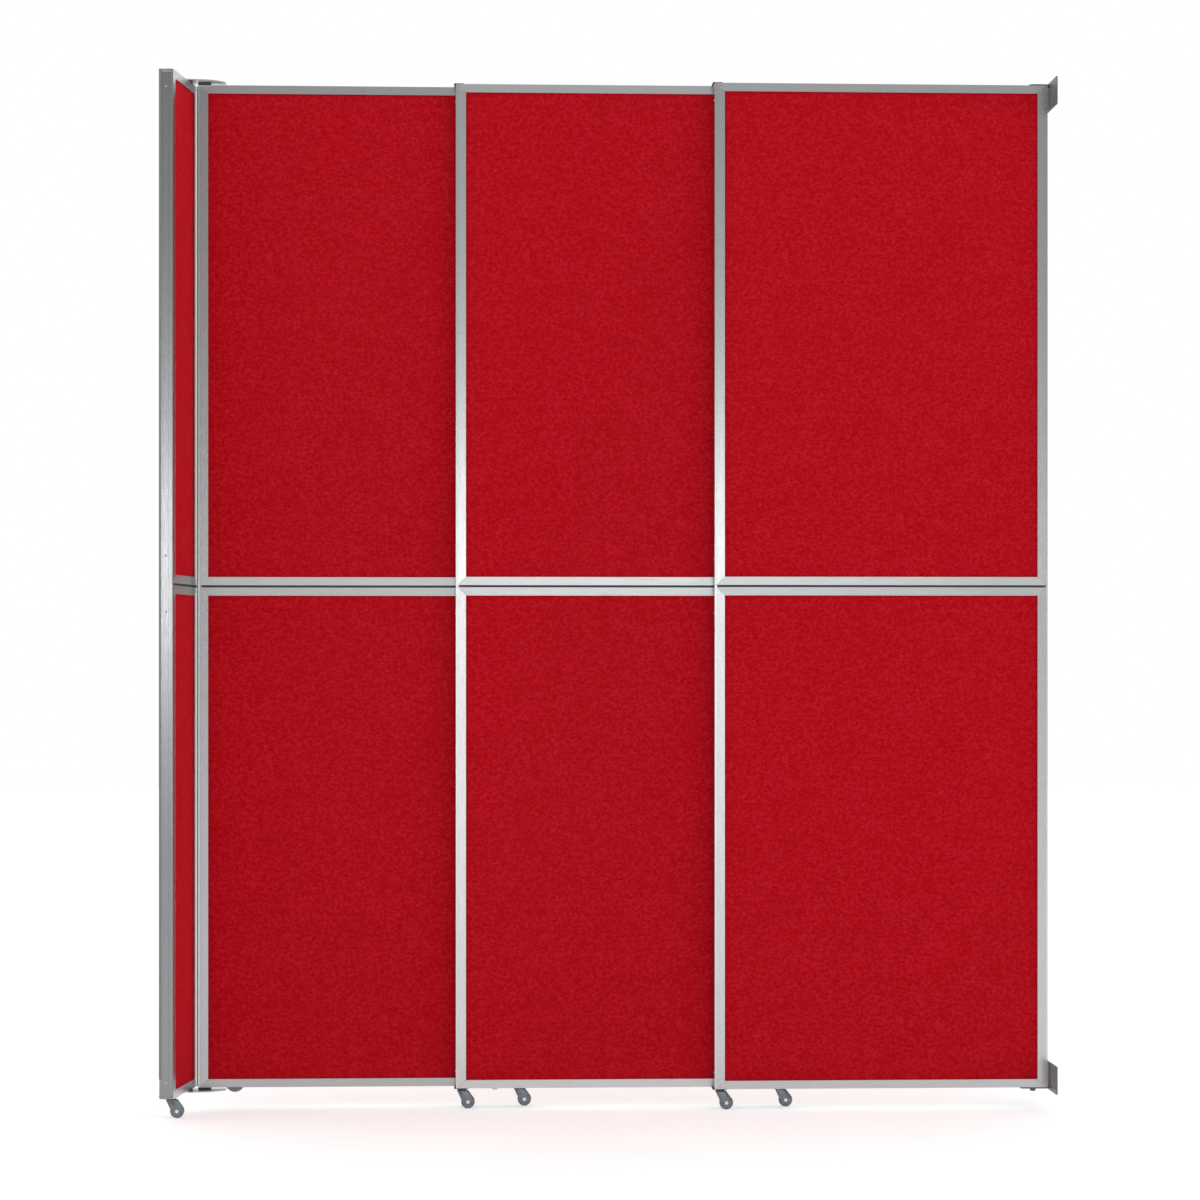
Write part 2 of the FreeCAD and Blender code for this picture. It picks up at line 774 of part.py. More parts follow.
def slide_stops():
    bolt = new_body("stop_bolt_form")
    sketch = new_sketch(bolt, "stop_bolt_section", "XZ_Plane")
    add_loop(sketch, [("0", "-stop_head_height"),
                      ("stop_head_radius - overrun", "-stop_head_height"),
                      ("stop_head_radius", "-stop_head_height + overrun"),
                      ("stop_head_radius", "0")] + stud_points())
    revolve(bolt, "stop_bolt_turned", sketch)
    bumper = new_body("bumper_form")
    sketch = new_sketch(bumper, "bumper_section", "XZ_Plane")
    add_loop(sketch, [("0", "-bumper_height", "(bumper_radius ^ 2 + bumper_height ^ 2)"
                       " / (2 * bumper_height)"),
                      ("bumper_radius", "0")] + stud_points())
    revolve(bumper, "bumper_turned", sketch)
    return [
        group("middle_slide_stop", [bolt], "middle_x + stop_inset", "middle_y",
              "base_height"),
        group("rear_slide_bumper", [bumper], "rear_x + bumper_inset", "rear_y",
              "base_height"),
    ]


# Casters, drawn with the swivel axis on Z and the floor at Z = 0, trailing towards +X.

def caster_mount_form(name, plated):
    body = new_body(name)
    sketch = new_sketch(body, f"{name}_section", "XZ_Plane")
    race_low = "caster_top - mount_flange - race_height"
    rivet_top = "crown_bottom - pivot_clearance"
    nut_low = "base_height + slot_lip + slot_clearance"
    nut_high = "base_height + slot_floor - slot_clearance"
    add_loop(sketch, [
        ("0", f"{rivet_top} - rivet_height"),
        ("rivet_radius", f"{rivet_top} - rivet_height"),
        ("rivet_radius", rivet_top),
        ("kingpin_radius", rivet_top),
        ("kingpin_radius", race_low),
        ("race_radius", race_low),
        ("race_radius", "caster_top - mount_flange"),
        ("mount_flange_radius", "caster_top - mount_flange"),
        ("mount_flange_radius", "caster_top"),
        ("stud_radius", "caster_top"),
        ("stud_radius", nut_low),
        ("stud_nut_radius", nut_low),
        ("stud_nut_radius", nut_high),
        ("0", nut_high),
    ])
    revolve(body, f"{name}_turned", sketch)
    if plated:
        sketch = new_sketch(body, f"{name}_plate_outline", "XY_Plane", lift="caster_top")
        add_loop(sketch, box_points("-end_caster_plate_length / 2",
                                    "end_caster_plate_length / 2",
                                    "-end_caster_plate_width / 2",
                                    "end_caster_plate_width / 2"))
        pad(body, f"{name}_plate", sketch, "guide_plate")
    return body


def fork_form():
    body = new_body("fork_form")
    sketch = new_sketch(body, "fork_side", "XZ_Plane")
    add_loop(sketch, [
        ("-crown_back", "fork_top"),
        ("-crown_back", "crown_bottom"),
        ("trail + axle_boss * cos(boss_back_turn)",
         "wheel_radius + axle_boss * sin(boss_back_turn)", "axle_boss"),
        ("trail + axle_boss * cos(boss_front_turn)",
         "wheel_radius + axle_boss * sin(boss_front_turn)"),
        ("crown_front", "crown_bottom"),
        ("crown_front", "fork_top"),
    ])
    pad(body, "fork_block", sketch, "fork_outside", middle=True)
    sketch = new_sketch(body, "fork_opening_outline", "XZ_Plane")
    add_loop(sketch, box_points("-crown_back - overrun", "trail + wheel_radius",
                                "-overrun", "crown_bottom"))
    pocket(body, "fork_opening", sketch, "fork_inside", middle=True)
    top = value("fork_top")
    fillet(body, "fork_bends", "fork_bend",
           lambda e: e.BoundBox.XLength > top / 4 and e.BoundBox.YLength < 1e-6
           and abs(e.BoundBox.ZMin - top) < 1e-6)
    sketch = new_sketch(body, "kingpin_bore_outline", "XY_Plane", lift="crown_bottom")
    add_circle(sketch, "0", "0", "kingpin_radius + running_fit")
    pocket(body, "kingpin_bore", sketch, "crown_thickness + overrun", back=True)
    sketch = new_sketch(body, "axle_bore_outline", "XZ_Plane")
    add_circle(sketch, "trail", "wheel_radius", "axle_radius + running_fit")
    pocket(body, "axle_bore", sketch, "fork_outside + overrun", middle=True)
    return body


def wheel_form():
    """Turned about Y, with a rounded tread and dished sides."""
    body = new_body("wheel_form")
    sketch = new_sketch(body, "wheel_section", "XY_Plane")
    half = "wheel_width / 2"
    bore = "axle_radius + running_fit"
    edge = f"{half} - tread_round"
    dish = f"{half} - dish_depth"
    upper = [
        ("wheel_radius", f"-({edge})"),
        ("wheel_radius", edge, "tread_round"),
        ("wheel_radius - tread_round", half),
        ("rim_radius", half),
        ("rim_radius", dish),
        ("hub_radius", dish),
        ("hub_radius", half),
        (bore, half),
        (bore, f"-({half})"),
        ("hub_radius", f"-({half})"),
        ("hub_radius", f"-({dish})"),
        ("rim_radius", f"-({dish})"),
        ("rim_radius", f"-({half})"),
        ("wheel_radius - tread_round", f"-({half})", "tread_round"),
    ]
    add_loop(sketch, upper)
    revolve(body, "wheel_turned", sketch)
    return body


def axle_form():
    body = new_body("axle_form")
    sketch = new_sketch(body, "axle_section", "XY_Plane")
    inner = "fork_outside / 2"
    outer = "fork_outside / 2 + axle_head_height"
    add_loop(sketch, [
        ("0", f"-({outer})"),
        ("axle_head_radius", f"-({outer})"),
        ("axle_head_radius", f"-({inner})"),
        ("axle_radius", f"-({inner})"),
        ("axle_radius", inner),
        ("axle_head_radius", inner),
        ("axle_head_radius", outer),
        ("0", outer),
    ])
    revolve(body, "axle_turned", sketch)
    return body


def casters():
    plain = caster_mount_form("caster_mount_form", plated=False)
    plated = caster_mount_form("plated_mount_form", plated=True)
    fork = fork_form()
    wheel = wheel_form()
    axle = axle_form()
    along = "(end_panel_width - end_caster_inset)"
    places = [
        ("front_left", "front_x + left_caster_inset", "front_y"),
        ("middle_left", "middle_x + left_caster_inset", "middle_y"),
        ("middle_right", "middle_x + column_width - middle_right_caster_inset",
         "middle_y"),
        ("rear_right", "rear_x + column_width - rear_right_caster_inset", "rear_y"),
        ("end", f"end_x - {along} * end_sin", f"end_y - {along} * end_cos"),
    ]
    nodes = []
    for name, x, y in places:
        at_end = name == "end"
        mount = plated if at_end else plain
        turn = "-(90 + end_panel_turn)" if at_end else None
        nodes.append(group(f"{name}_caster_mount", [mount], x, y, turn=turn))
        nodes.append(group(f"{name}_caster_fork", [fork], x, y))
        at_axle = f"{x} + trail"
        nodes.append(group(f"{name}_caster_axle", [axle], at_axle, y, "wheel_radius"))
        nodes.append(group(f"{name}_caster_wheel", [wheel], at_axle, y, "wheel_radius"))
    return nodes


# The free edge of the end panel

def seal_strip():
    """A dark strip along the outer side of the post, drawn on the end panel."""
    strip = doc.addObject("Part::Box", "seal_form")
    tie(strip, "Length", "seal_thickness")
    tie(strip, "Width", "seal_width")
    tie(strip, "Height", "top_height - base_height - seal_lift")
    set_place(strip, x="end_panel_width", y="-half_depth", z="base_height + seal_lift")
    return group("end_seal_strip", [strip], "end_x", "end_y", turn="-(90 + end_panel_turn)")


def post_caps():
    """Moulded caps with rounded corners that close the post's two ends."""
    body = new_body("cap_form")
    sketch = new_sketch(body, "cap_outline", "YZ_Plane",
                        lift="end_panel_width - strip_thickness")
    add_loop(sketch, box_points("-half_depth", "half_depth", "0", "cap_height"))
    pad(body, "cap_block", sketch, "strip_thickness")
    fillet(body, "cap_rounds", "cap_corner",
           lambda e: e.BoundBox.XLength > 1e-6 and e.BoundBox.YLength < 1e-6
           and abs(e.BoundBox.ZMax) < 1e-6)
    low = group("post_foot_cap", [body], z="base_height")
    flipped = mirror("cap_flipped", body, Z_AXIS)
    high = group("post_head_cap", [flipped], z="top_height")
    return group("end_post_caps", [low, high], "end_x", "end_y",
                 turn="-(90 + end_panel_turn)")


def columns():
    frame = four_sided_frame("column_frame", "column_frame_width")
    slab = board("column_slab", "column_frame_width")
    key = joining_key("column_key", "column_frame_width")
    left = edge_strip("column_strip", "base_height", "top_height")
    right = mirror("column_far_strip", left, X_AXIS, x="column_width / 2")
    pivot = "column_frame_width + strip_thickness - wall_pivot_inset"
    bores = bore_tools("wall_pivot", pivot, "0", "wall_bush_radius")
    nodes = column_set("front", "front_x", "front_y", frame, slab, [left, right], key,
                       bores=bores)
    nodes += column_set("middle", "middle_x", "middle_y", frame, slab, [left, right], key)
    nodes += column_set("rear", "rear_x", "rear_y", frame, slab, [left, right], key)
    sleeve = bush("wall_bush_form", "wall_pin_radius", "wall_bush_radius")
    nodes.append(bush_pair("wall_pivot_bushes", sleeve,
                           "column_width - wall_pivot_inset", "0", "front_x", "front_y"))
    return nodes


def end_panel():
    turn = "-(90 + end_panel_turn)"
    frame = four_sided_frame("end_frame", "end_frame_width")
    slab = board("end_slab", "end_frame_width")
    hinged = edge_strip("end_strip", "base_height", "top_height")
    post = post_strip("post_strip", "base_height + cap_height", "top_height - cap_height")
    post = mirror("post_strip_turned", post, X_AXIS, x="end_panel_width / 2")
    bores = bore_tools("corner_pivot", "corner_pivot_inset - strip_thickness",
                       "pivot_side", "corner_bush_radius")
    nodes = column_set("end", "end_x", "end_y", frame, slab, [hinged, post], None,
                       turn=turn, bores=bores)
    sleeve = bush("corner_bush_form", "corner_pin_radius", "corner_bush_radius")
    nodes.append(bush_pair("corner_pivot_bushes", sleeve, "corner_pivot_inset",
                           "pivot_side", "end_x", "end_y", turn=turn))
    nodes.append(seal_strip())
    nodes.append(post_caps())
    return nodes


def check(nodes):
    for thing in doc.Objects:
        if "Invalid" in thing.State or "Error" in thing.State:
            raise RuntimeError(f"{thing.Name} failed: {thing.State}")
    for node in nodes:
        if node.Shape.isNull() or not node.Shape.isValid() or not node.Shape.Solids:
            raise RuntimeError(f"{node.Label} has no sound solid")


def write(nodes):
    os.makedirs("parts", exist_ok=True)
    for node in nodes:
        node.Shape.exportStep(f"parts/{node.Label}.step")


nodes = columns() + end_panel() + wall_brackets() + corner_plates()
nodes += guides() + slide_stops() + casters()
doc.recompute()
check(nodes)
write(nodes)
print(len(nodes), "nodes,", sum(len(n.Shape.Solids) for n in nodes), "solids")
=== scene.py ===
"""Finish and small fittings of a wall-mounted fabric room divider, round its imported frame.

X runs right along the divider to the wall, +Y away from the viewer, Z up from the floor.
"""

import math

import bmesh
import bpy
from mathutils import Matrix, Vector, noise


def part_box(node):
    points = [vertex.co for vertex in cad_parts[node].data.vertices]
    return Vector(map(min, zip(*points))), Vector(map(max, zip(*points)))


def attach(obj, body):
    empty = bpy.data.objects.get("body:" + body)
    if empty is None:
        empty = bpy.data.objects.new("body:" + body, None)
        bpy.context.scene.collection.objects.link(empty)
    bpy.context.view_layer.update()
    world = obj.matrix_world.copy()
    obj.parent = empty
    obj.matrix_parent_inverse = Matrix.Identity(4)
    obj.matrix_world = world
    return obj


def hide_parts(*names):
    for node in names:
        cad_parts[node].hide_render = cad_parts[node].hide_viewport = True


bl_info = {
    "name": "Fabric Room Divider",
    "version": (1, 0, 0),
    "blender": (4, 5, 0),
    "location": "View3D > Sidebar > Divider",
    "description": "Fabric, metal, fittings and stage of a wall-mounted room divider",
    "category": "Object",
}

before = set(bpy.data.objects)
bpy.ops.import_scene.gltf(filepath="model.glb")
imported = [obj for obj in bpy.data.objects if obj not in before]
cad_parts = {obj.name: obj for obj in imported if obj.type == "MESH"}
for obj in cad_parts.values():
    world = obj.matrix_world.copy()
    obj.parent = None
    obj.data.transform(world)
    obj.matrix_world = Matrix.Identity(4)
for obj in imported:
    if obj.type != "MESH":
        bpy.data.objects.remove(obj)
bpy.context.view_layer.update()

COLUMNS = ("front", "middle", "rear")
PARTS = (*COLUMNS, "end")
LEVELS = ("lower", "upper")
CASTERS = ("front_left", "middle_left", "middle_right", "rear_right", "end")
GUIDES = ("front_upper_guide", "front_lower_guide", "middle_upper_guides",
          "middle_left_lower_guide", "middle_right_lower_guide", "rear_upper_guide",
          "rear_lower_guide")

# Lengths are in metres here and below.

# Turn of the end panel out of the row, with the divider at rest
END_TURN = math.radians(-99)
# Width of a frame's rails and stiles, seen from the front
RAIL_FACE = 0.030
# How far the edge strips' tongues reach into a frame's ends
TONGUE = 0.0058
# How far the black spacer block reaches from the frame's edge to its corner plate; the black
# is painted shade under the plate
SPACER = 0.0079
# Heights between which the painted shade that darkens the post's lower metal fades out
POST_SHADE_HEIGHTS = (0.95, 1.75)
# Painted light and shade: each frame's aluminium colour is scaled by its share, darker or
# lighter for how the light falls on that frame
FRAME_PAINTED_LIGHT_AND_SHADE = {
    ("rear", "lower"): 0.76, ("rear", "upper"): 0.83,
    ("middle", "lower"): 0.96, ("middle", "upper"): 1.05,
    ("front", "lower"): 0.89, ("front", "upper"): 1.0,
    ("end", "lower"): 1.1, ("end", "upper"): 1.1,
}
# Glowing panels behind the camera, which the metal mirrors: x, z, width, height and glow
PANEL_Y = -11.4
PANELS = {
    "bright_panel": (0.7, 2.58, 4.6, 0.75, 3.6),
    "low_panel": (0.5, 1.10, 4.2, 1.5, 1.10),
    "post_panel": (-6.6, 2.45, 2.4, 0.75, 8.0),
}
# The panel far out to the right that lights the end panel's face
SIDE_PLACE = (8.0, -1.05, 1.9)
SIDE_AIM = (-1.55, -0.20, 1.9)
SIDE_SIZE = (2.2, 4.4)
SIDE_SPREAD = math.radians(6)
# Half the side of the floor
FLOOR_HALF = 30


def body_of(part):
    """The body that a column or the end panel belongs to."""
    return "end_panel" if part == "end" else f"{part}_column"


def turn_of(part):
    """The turn of a part about the vertical, at rest."""
    return END_TURN if part == "end" else 0.0


def turned(part):
    """The turn from a panel's own axes, x along it and y through it, to the row frame."""
    return Matrix.Rotation(turn_of(part), 4, "Z")


def own_box(node, part):
    """A node's lowest and highest corners along its panel's own axes."""
    back = turned(part).inverted()
    spots = [back @ v.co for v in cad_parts[node].data.vertices]
    low = Vector([min(s[i] for s in spots) for i in range(3)])
    high = Vector([max(s[i] for s in spots) for i in range(3)])
    return low, high


# Sizes and colours that a user would change

class DividerFabric(bpy.types.PropertyGroup):
    """Colours and sizes of the fabric boards"""
    colour: bpy.props.FloatVectorProperty(
        name="Fabric colour", description="Main colour of the woven cover",
        subtype="COLOR", default=(0.520, 0.0022, 0.0099), min=0, max=1)
    # The shade colour also serves as the painted shade between the yarns
    shade: bpy.props.FloatVectorProperty(
        name="Shade colour", description="Darker yarn in the mottled weave",
        subtype="COLOR", default=(0.408, 0.0008, 0.0052), min=0, max=1)
    haze: bpy.props.FloatVectorProperty(
        name="Haze colour", description="Pale fibres that lie over the weave",
        subtype="COLOR", default=(0.66, 0.027, 0.049), min=0, max=1)
    yarn: bpy.props.FloatProperty(
        name="Yarn pitch", description="Distance from one yarn to the next",
        subtype="DISTANCE", default=0.0016, min=0.0004, max=0.01)
    edge: bpy.props.FloatProperty(
        name="Edge roll", description="Radius where the cover turns over the board's edge",
        subtype="DISTANCE", default=0.005, min=0.001, max=0.01)
    ripple: bpy.props.FloatProperty(
        name="Ripple", description="How far the stretched cover is from flat",
        subtype="DISTANCE", default=0.0005, min=0, max=0.002)


class DividerMetal(bpy.types.PropertyGroup):
    """Colours and roughness of the metal"""
    aluminium: bpy.props.FloatVectorProperty(
        name="Aluminium", description="Satin anodised extrusions",
        subtype="COLOR", default=(0.60, 0.605, 0.61), min=0, max=1)
    post: bpy.props.FloatVectorProperty(
        name="Post", description="Darker anodised strips of the end panel",
        subtype="COLOR", default=(0.44, 0.445, 0.45), min=0, max=1)
    steel: bpy.props.FloatVectorProperty(
        name="Bracket steel", description="Powder-coated wall brackets",
        subtype="COLOR", default=(0.115, 0.120, 0.128), min=0, max=1)
    zinc: bpy.props.FloatVectorProperty(
        name="Zinc plate", description="Plated small parts",
        subtype="COLOR", default=(0.60, 0.62, 0.63), min=0, max=1)
    fork: bpy.props.FloatVectorProperty(
        name="Caster steel", description="Pressed caster forks",
        subtype="COLOR", default=(0.19, 0.215, 0.24), min=0, max=1)
    roughness: bpy.props.FloatProperty(
        name="Roughness", description="Roughness of the satin aluminium",
        subtype="FACTOR", default=0.25, min=0.05, max=1)
    across: bpy.props.FloatProperty(
        name="Level rails", description="How much rougher the level rails look",
        subtype="FACTOR", default=0.10, min=0, max=0.5)


class DividerFixings(bpy.types.PropertyGroup):
    """Sizes and places of the rivets and screws"""
    rivet: bpy.props.FloatProperty(
        name="Rivet radius", description="Flush rivets at the frames' corners",
        subtype="DISTANCE", default=0.0032, min=0.001, max=0.006)
    screw: bpy.props.FloatProperty(
        name="Screw radius", description="Button heads in the edge strips",
        subtype="DISTANCE", default=0.0045, min=0.002, max=0.008)
    mid_reach: bpy.props.FloatProperty(
        name="Middle screws", description="Height of the screws above and below the middle",
        subtype="DISTANCE", default=0.100, min=0.03, max=0.5)
    end_reach: bpy.props.FloatProperty(
        name="End screws", description="Distance of the screws from the strip's ends",
        subtype="DISTANCE", default=0.060, min=0.02, max=0.5)


class DividerStage(bpy.types.PropertyGroup):
    """Camera and light"""
    lens: bpy.props.FloatProperty(
        name="Lens", description="Focal length of the camera, in millimetres",
        default=90.17, min=20, max=200)
    place: bpy.props.FloatVectorProperty(
        name="Camera place", description="Where the camera stands",
        subtype="TRANSLATION", default=(-0.5202, -10.8958, 1.5996))
    yaw: bpy.props.FloatProperty(
        name="Camera yaw", description="Turn of the camera to the right",
        subtype="ANGLE", default=math.radians(2.54))
    rise: bpy.props.FloatProperty(
        name="Frame shift", description="Upward shift of the picture, as a share of it",
        default=70 / 1200, min=-0.1, max=0.1)
    fill: bpy.props.FloatProperty(
        name="Fill light", description="Strength of the even light from all round",
        default=0.96, min=0, max=2)
    glow: bpy.props.FloatProperty(
        name="Panel glow", description="Radiance of the panels that the metal mirrors",
        default=1.0, min=0, max=4)
    side: bpy.props.FloatProperty(
        name="Side glow", description="Radiance of the panel that lights the end panel",
        default=0.26, min=0, max=20)


# Shader building

class Shader:
    """A material's node tree, built one node at a time."""

    def __init__(self, name):
        self.material = bpy.data.materials.new(name)
        self.material.use_nodes = True
        self.tree = self.material.node_tree
        self.surface = self.tree.nodes["Principled BSDF"]

    @classmethod
    def over(cls, material):
        """The shader of a material that is made already."""
        made = cls.__new__(cls)
        made.material = material
        made.tree = material.node_tree
        made.surface = made.tree.nodes["Principled BSDF"]
        return made

    def node(self, kind, settings=None, **inputs):
        """A new node with its settings and inputs."""
        made = self.tree.nodes.new(f"ShaderNode{kind}")
        for word, setting in (settings or {}).items():
            setattr(made, word, setting)
        for word, source in inputs.items():
            self.feed(made.inputs[word.replace("_", " ")], source)
        return made

    def feed(self, socket, source):
        """Give a socket a link, a value or a colour."""
        if isinstance(source, bpy.types.NodeSocket):
            self.tree.links.new(source, socket)
        elif hasattr(socket.default_value, "__len__") and len(source) == 3 \
                and len(socket.default_value) == 4:
            socket.default_value = (*source, 1)
        else:
            socket.default_value = source

    def calc(self, operation, *values):
        """The result of one operation on values or sockets."""
        made = self.node("Math", {"operation": operation})
        for i, entry in enumerate(values):
            self.feed(made.inputs[i], entry)
        return made.outputs[0]

    def blend(self, factor, first, second):
        """A mix of two colours."""
        made = self.node("Mix", {"data_type": "RGBA"})
        self.feed(made.inputs[0], factor)
        self.feed(made.inputs[6], first)
        self.feed(made.inputs[7], second)
        return made.outputs[2]

    def choose(self, factor, first, second):
        """A mix of two numbers."""
        made = self.node("Mix", {"data_type": "FLOAT"})
        self.feed(made.inputs[0], factor)
        self.feed(made.inputs[2], first)
        self.feed(made.inputs[3], second)
        return made.outputs[0]

    def spot(self, turn=0.0):
        """The point on the piece, in metres, turned to a panel's own axes."""
        place = self.node("TexCoord").outputs["Object"]
        if not turn:
            return place
        return self.node("Mapping", Vector=place, Rotation=(0, 0, -turn)).outputs[0]

    def grain(self, place, scale, detail=4.0, rough=0.55):
        """Noise with one scale for all directions, or one for each."""
        if not isinstance(scale, tuple):
            scale = (scale, scale, scale)
        stretched = self.node("Mapping", Vector=place, Scale=scale).outputs[0]
        made = self.node("TexNoise", Vector=stretched, Scale=1.0, Detail=detail,
                         Roughness=rough)
        return made.outputs[0]

    def span(self, value, low, high, to_low=0.0, to_high=1.0):
        """A value carried from one range to another and held to its ends."""
        made = self.node("MapRange", Value=value, From_Min=low, From_Max=high,
                         To_Min=to_low, To_Max=to_high)
        return made.outputs[0]

    def bump(self, height, depth, strength=1.0, under=None):
        """A normal raised by the height, over the one underneath."""
        made = self.node("Bump", Height=height, Distance=depth, Strength=strength)
        if under is not None:
            self.feed(made.inputs["Normal"], under)
        return made.outputs[0]

    def soft_edges(self, radius):
        """A normal that rounds sharp edges by this radius."""
        return self.node("Bevel", {"samples": 4}, Radius=radius).outputs[0]

    def finish(self, **inputs):
        """Feed the surface and hand over the material."""
        for word, source in inputs.items():
            self.feed(self.surface.inputs[word.replace("_", " ")], source)
        return self.material


def dress(name, material):
    """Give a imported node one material."""
    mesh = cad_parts[name].data
    if not mesh.materials:
        mesh.materials.append(material)
    for i in range(len(mesh.materials)):
        mesh.materials[i] = material


def made_mesh(name, built, crisp=0.7):
    """What bmesh built as a mesh, smooth but for edges that turn more than the limit."""
    mesh = bpy.data.meshes.new(name)
    built.to_mesh(mesh)
    built.free()
    mesh.shade_smooth()
    mesh.set_sharp_from_angle(angle=crisp)
    return mesh


def merged(name, meshes):
    """Several meshes as one."""
    whole = bmesh.new()
    for mesh in meshes:
        whole.from_mesh(mesh)
        bpy.data.meshes.remove(mesh)
    return made_mesh(name, whole)


def add_piece(name, mesh, material, body, place=None):
    """A new object with one material that rides on a body of the frame."""
    piece = bpy.data.objects.new(name, mesh)
    mesh.materials.append(material)
    bpy.context.scene.collection.objects.link(piece)
    if place is not None:
        piece.matrix_world = place
    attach(piece, body)
    return piece


# Aluminium

# Noise scales of the drawn grain, long in the direction that the bar was drawn
LEVEL_GRAIN = (14.0, 1600.0, 1600.0)
UPRIGHT_GRAIN = (1600.0, 1600.0, 14.0)
GRAIN_DEPTH = 0.00006
# How much the grain changes the roughness, up and down
GRAIN_GLOSS = 0.05
MITRE_WIDTH = 0.0007
MITRE_COLOUR = (0.12, 0.12, 0.12)


def aluminium_colour(shader, grain, place, colour):
    """Anodised metal with fine drawn grain and faint cloudy patches."""
    cloud = shader.grain(place, 3.0, detail=2.0)
    light = [min(c * 1.08, 1) for c in colour]
    dark = [c * 0.86 for c in colour]
    drawn = shader.blend(shader.span(grain, 0.3, 0.7), dark, light)
    return shader.blend(shader.span(cloud, 0.35, 0.7, 0.0, 0.22), drawn, dark)


def grain_roughness(shader, grain, metal):
    """The metal's roughness, a little less on the ridges of the grain."""
    return shader.span(grain, 0.3, 0.7, metal.roughness + GRAIN_GLOSS,
                       metal.roughness - GRAIN_GLOSS)


def frame_aluminium(part, level, metal):
    """Metal of one mitred frame: the grain follows each rail, with a line at each mitre."""
    low, high = own_box(f"{part}_{level}_frame", part)
    shader = Shader(f"aluminium_{part}_{level}_frame")
    place = shader.spot(turn_of(part))
    axes = shader.node("SeparateXYZ", Vector=place).outputs
    across = shader.calc("MINIMUM", shader.calc("SUBTRACT", axes[0], low.x),
                         shader.calc("SUBTRACT", high.x, axes[0]))
    upward = shader.calc("MINIMUM", shader.calc("SUBTRACT", axes[2], low.z),
                         shader.calc("SUBTRACT", high.z, axes[2]))
    on_rail = shader.calc("LESS_THAN", upward, across)
    level_grain = shader.grain(place, LEVEL_GRAIN)
    upright_grain = shader.grain(place, UPRIGHT_GRAIN)
    grain = shader.choose(on_rail, upright_grain, level_grain)
    gap = shader.calc("ABSOLUTE", shader.calc("SUBTRACT", upward, across))
    mitre = shader.span(gap, 0.0, MITRE_WIDTH, 1.0, 0.0)
    # Painted light and shade: the frame's colour is scaled by its own share
    tone = [c * FRAME_PAINTED_LIGHT_AND_SHADE[part, level] for c in metal.aluminium]
    colour = aluminium_colour(shader, grain, place, tone)
    colour = shader.blend(shader.calc("MULTIPLY", mitre, 0.4), colour, MITRE_COLOUR)
    height = shader.calc("SUBTRACT", grain, mitre)
    normal = shader.bump(height, GRAIN_DEPTH, under=shader.soft_edges(0.0007))
    rough = shader.calc("MULTIPLY_ADD", on_rail, metal.across,
                        grain_roughness(shader, grain, metal))
    return shader.finish(Base_Color=colour, Metallic=1.0, Roughness=rough, Normal=normal)


def drawn_aluminium(name, metal, tone, turn=0.0, wear_and_painted_shade=0.0):
    """Metal of the upright strips: the grain runs up them, and painted shade makes the metal
    darker below.
    """
    shader = Shader(name)
    place = shader.spot(turn)
    grain = shader.grain(place, UPRIGHT_GRAIN)
    colour = aluminium_colour(shader, grain, place, tone)
    # Painted shade: the metal darkens towards the bottom, below the given heights
    if wear_and_painted_shade:
        height = shader.node("SeparateXYZ", Vector=place).outputs[2]
        painted_post_shade = shader.span(height, *POST_SHADE_HEIGHTS, wear_and_painted_shade, 0.0)
        colour = shader.blend(painted_post_shade, colour, [c * 0.3 for c in tone])
    normal = shader.bump(grain, GRAIN_DEPTH, under=shader.soft_edges(0.0006))
    rough = grain_roughness(shader, grain, metal)
    return shader.finish(Base_Color=colour, Metallic=1.0, Roughness=rough, Normal=normal)


class DIVIDER_OT_aluminium(bpy.types.Operator):
    """Finish the frames and edge strips in satin aluminium, and colour the joining keys
    near-black as painted shade in the joint
    """
    bl_idname = "divider.aluminium"
    bl_label = "Finish Aluminium"

    def execute(self, context):
        metal = context.scene.divider_metal
        for part in PARTS:
            for level in LEVELS:
                dress(f"{part}_{level}_frame", frame_aluminium(part, level, metal))
        strips = drawn_aluminium("aluminium_strips", metal, metal.aluminium)
        # Painted shade: the joining keys are near-black, standing in for the shadow in the
        # joint between the frames
        painted_joint_shade = moulded_plastic("joint_shadow_gray", (0.035, 0.035, 0.036), 0.7)
        for part in COLUMNS:
            dress(f"{part}_edge_strips", strips)
            dress(f"{part}_joining_key", painted_joint_shade)
        # The end strips get the painted shade towards the bottom, at half strength
        post = drawn_aluminium("aluminium_end_strips", metal, metal.post, END_TURN, 0.5)
        dress("end_edge_strips", post)
        return {"FINISHED"}


# Fabric boards

# How far the yarns sway to either side, as a share of their pitch
YARN_WOBBLE = 0.3
# Size of a cell of a board's faces, and steps round its rolled edge
CELL = 0.055
ROLLS = 4
# The ripple starts this far in from the edge, and grows to its full height over the next
RIPPLE_START = 0.012
RIPPLE_GROWS = 0.10
RIPPLE_SCALE = 3.1
# Keeps the ripple of the two faces apart
FACE_OFFSET = 7.7


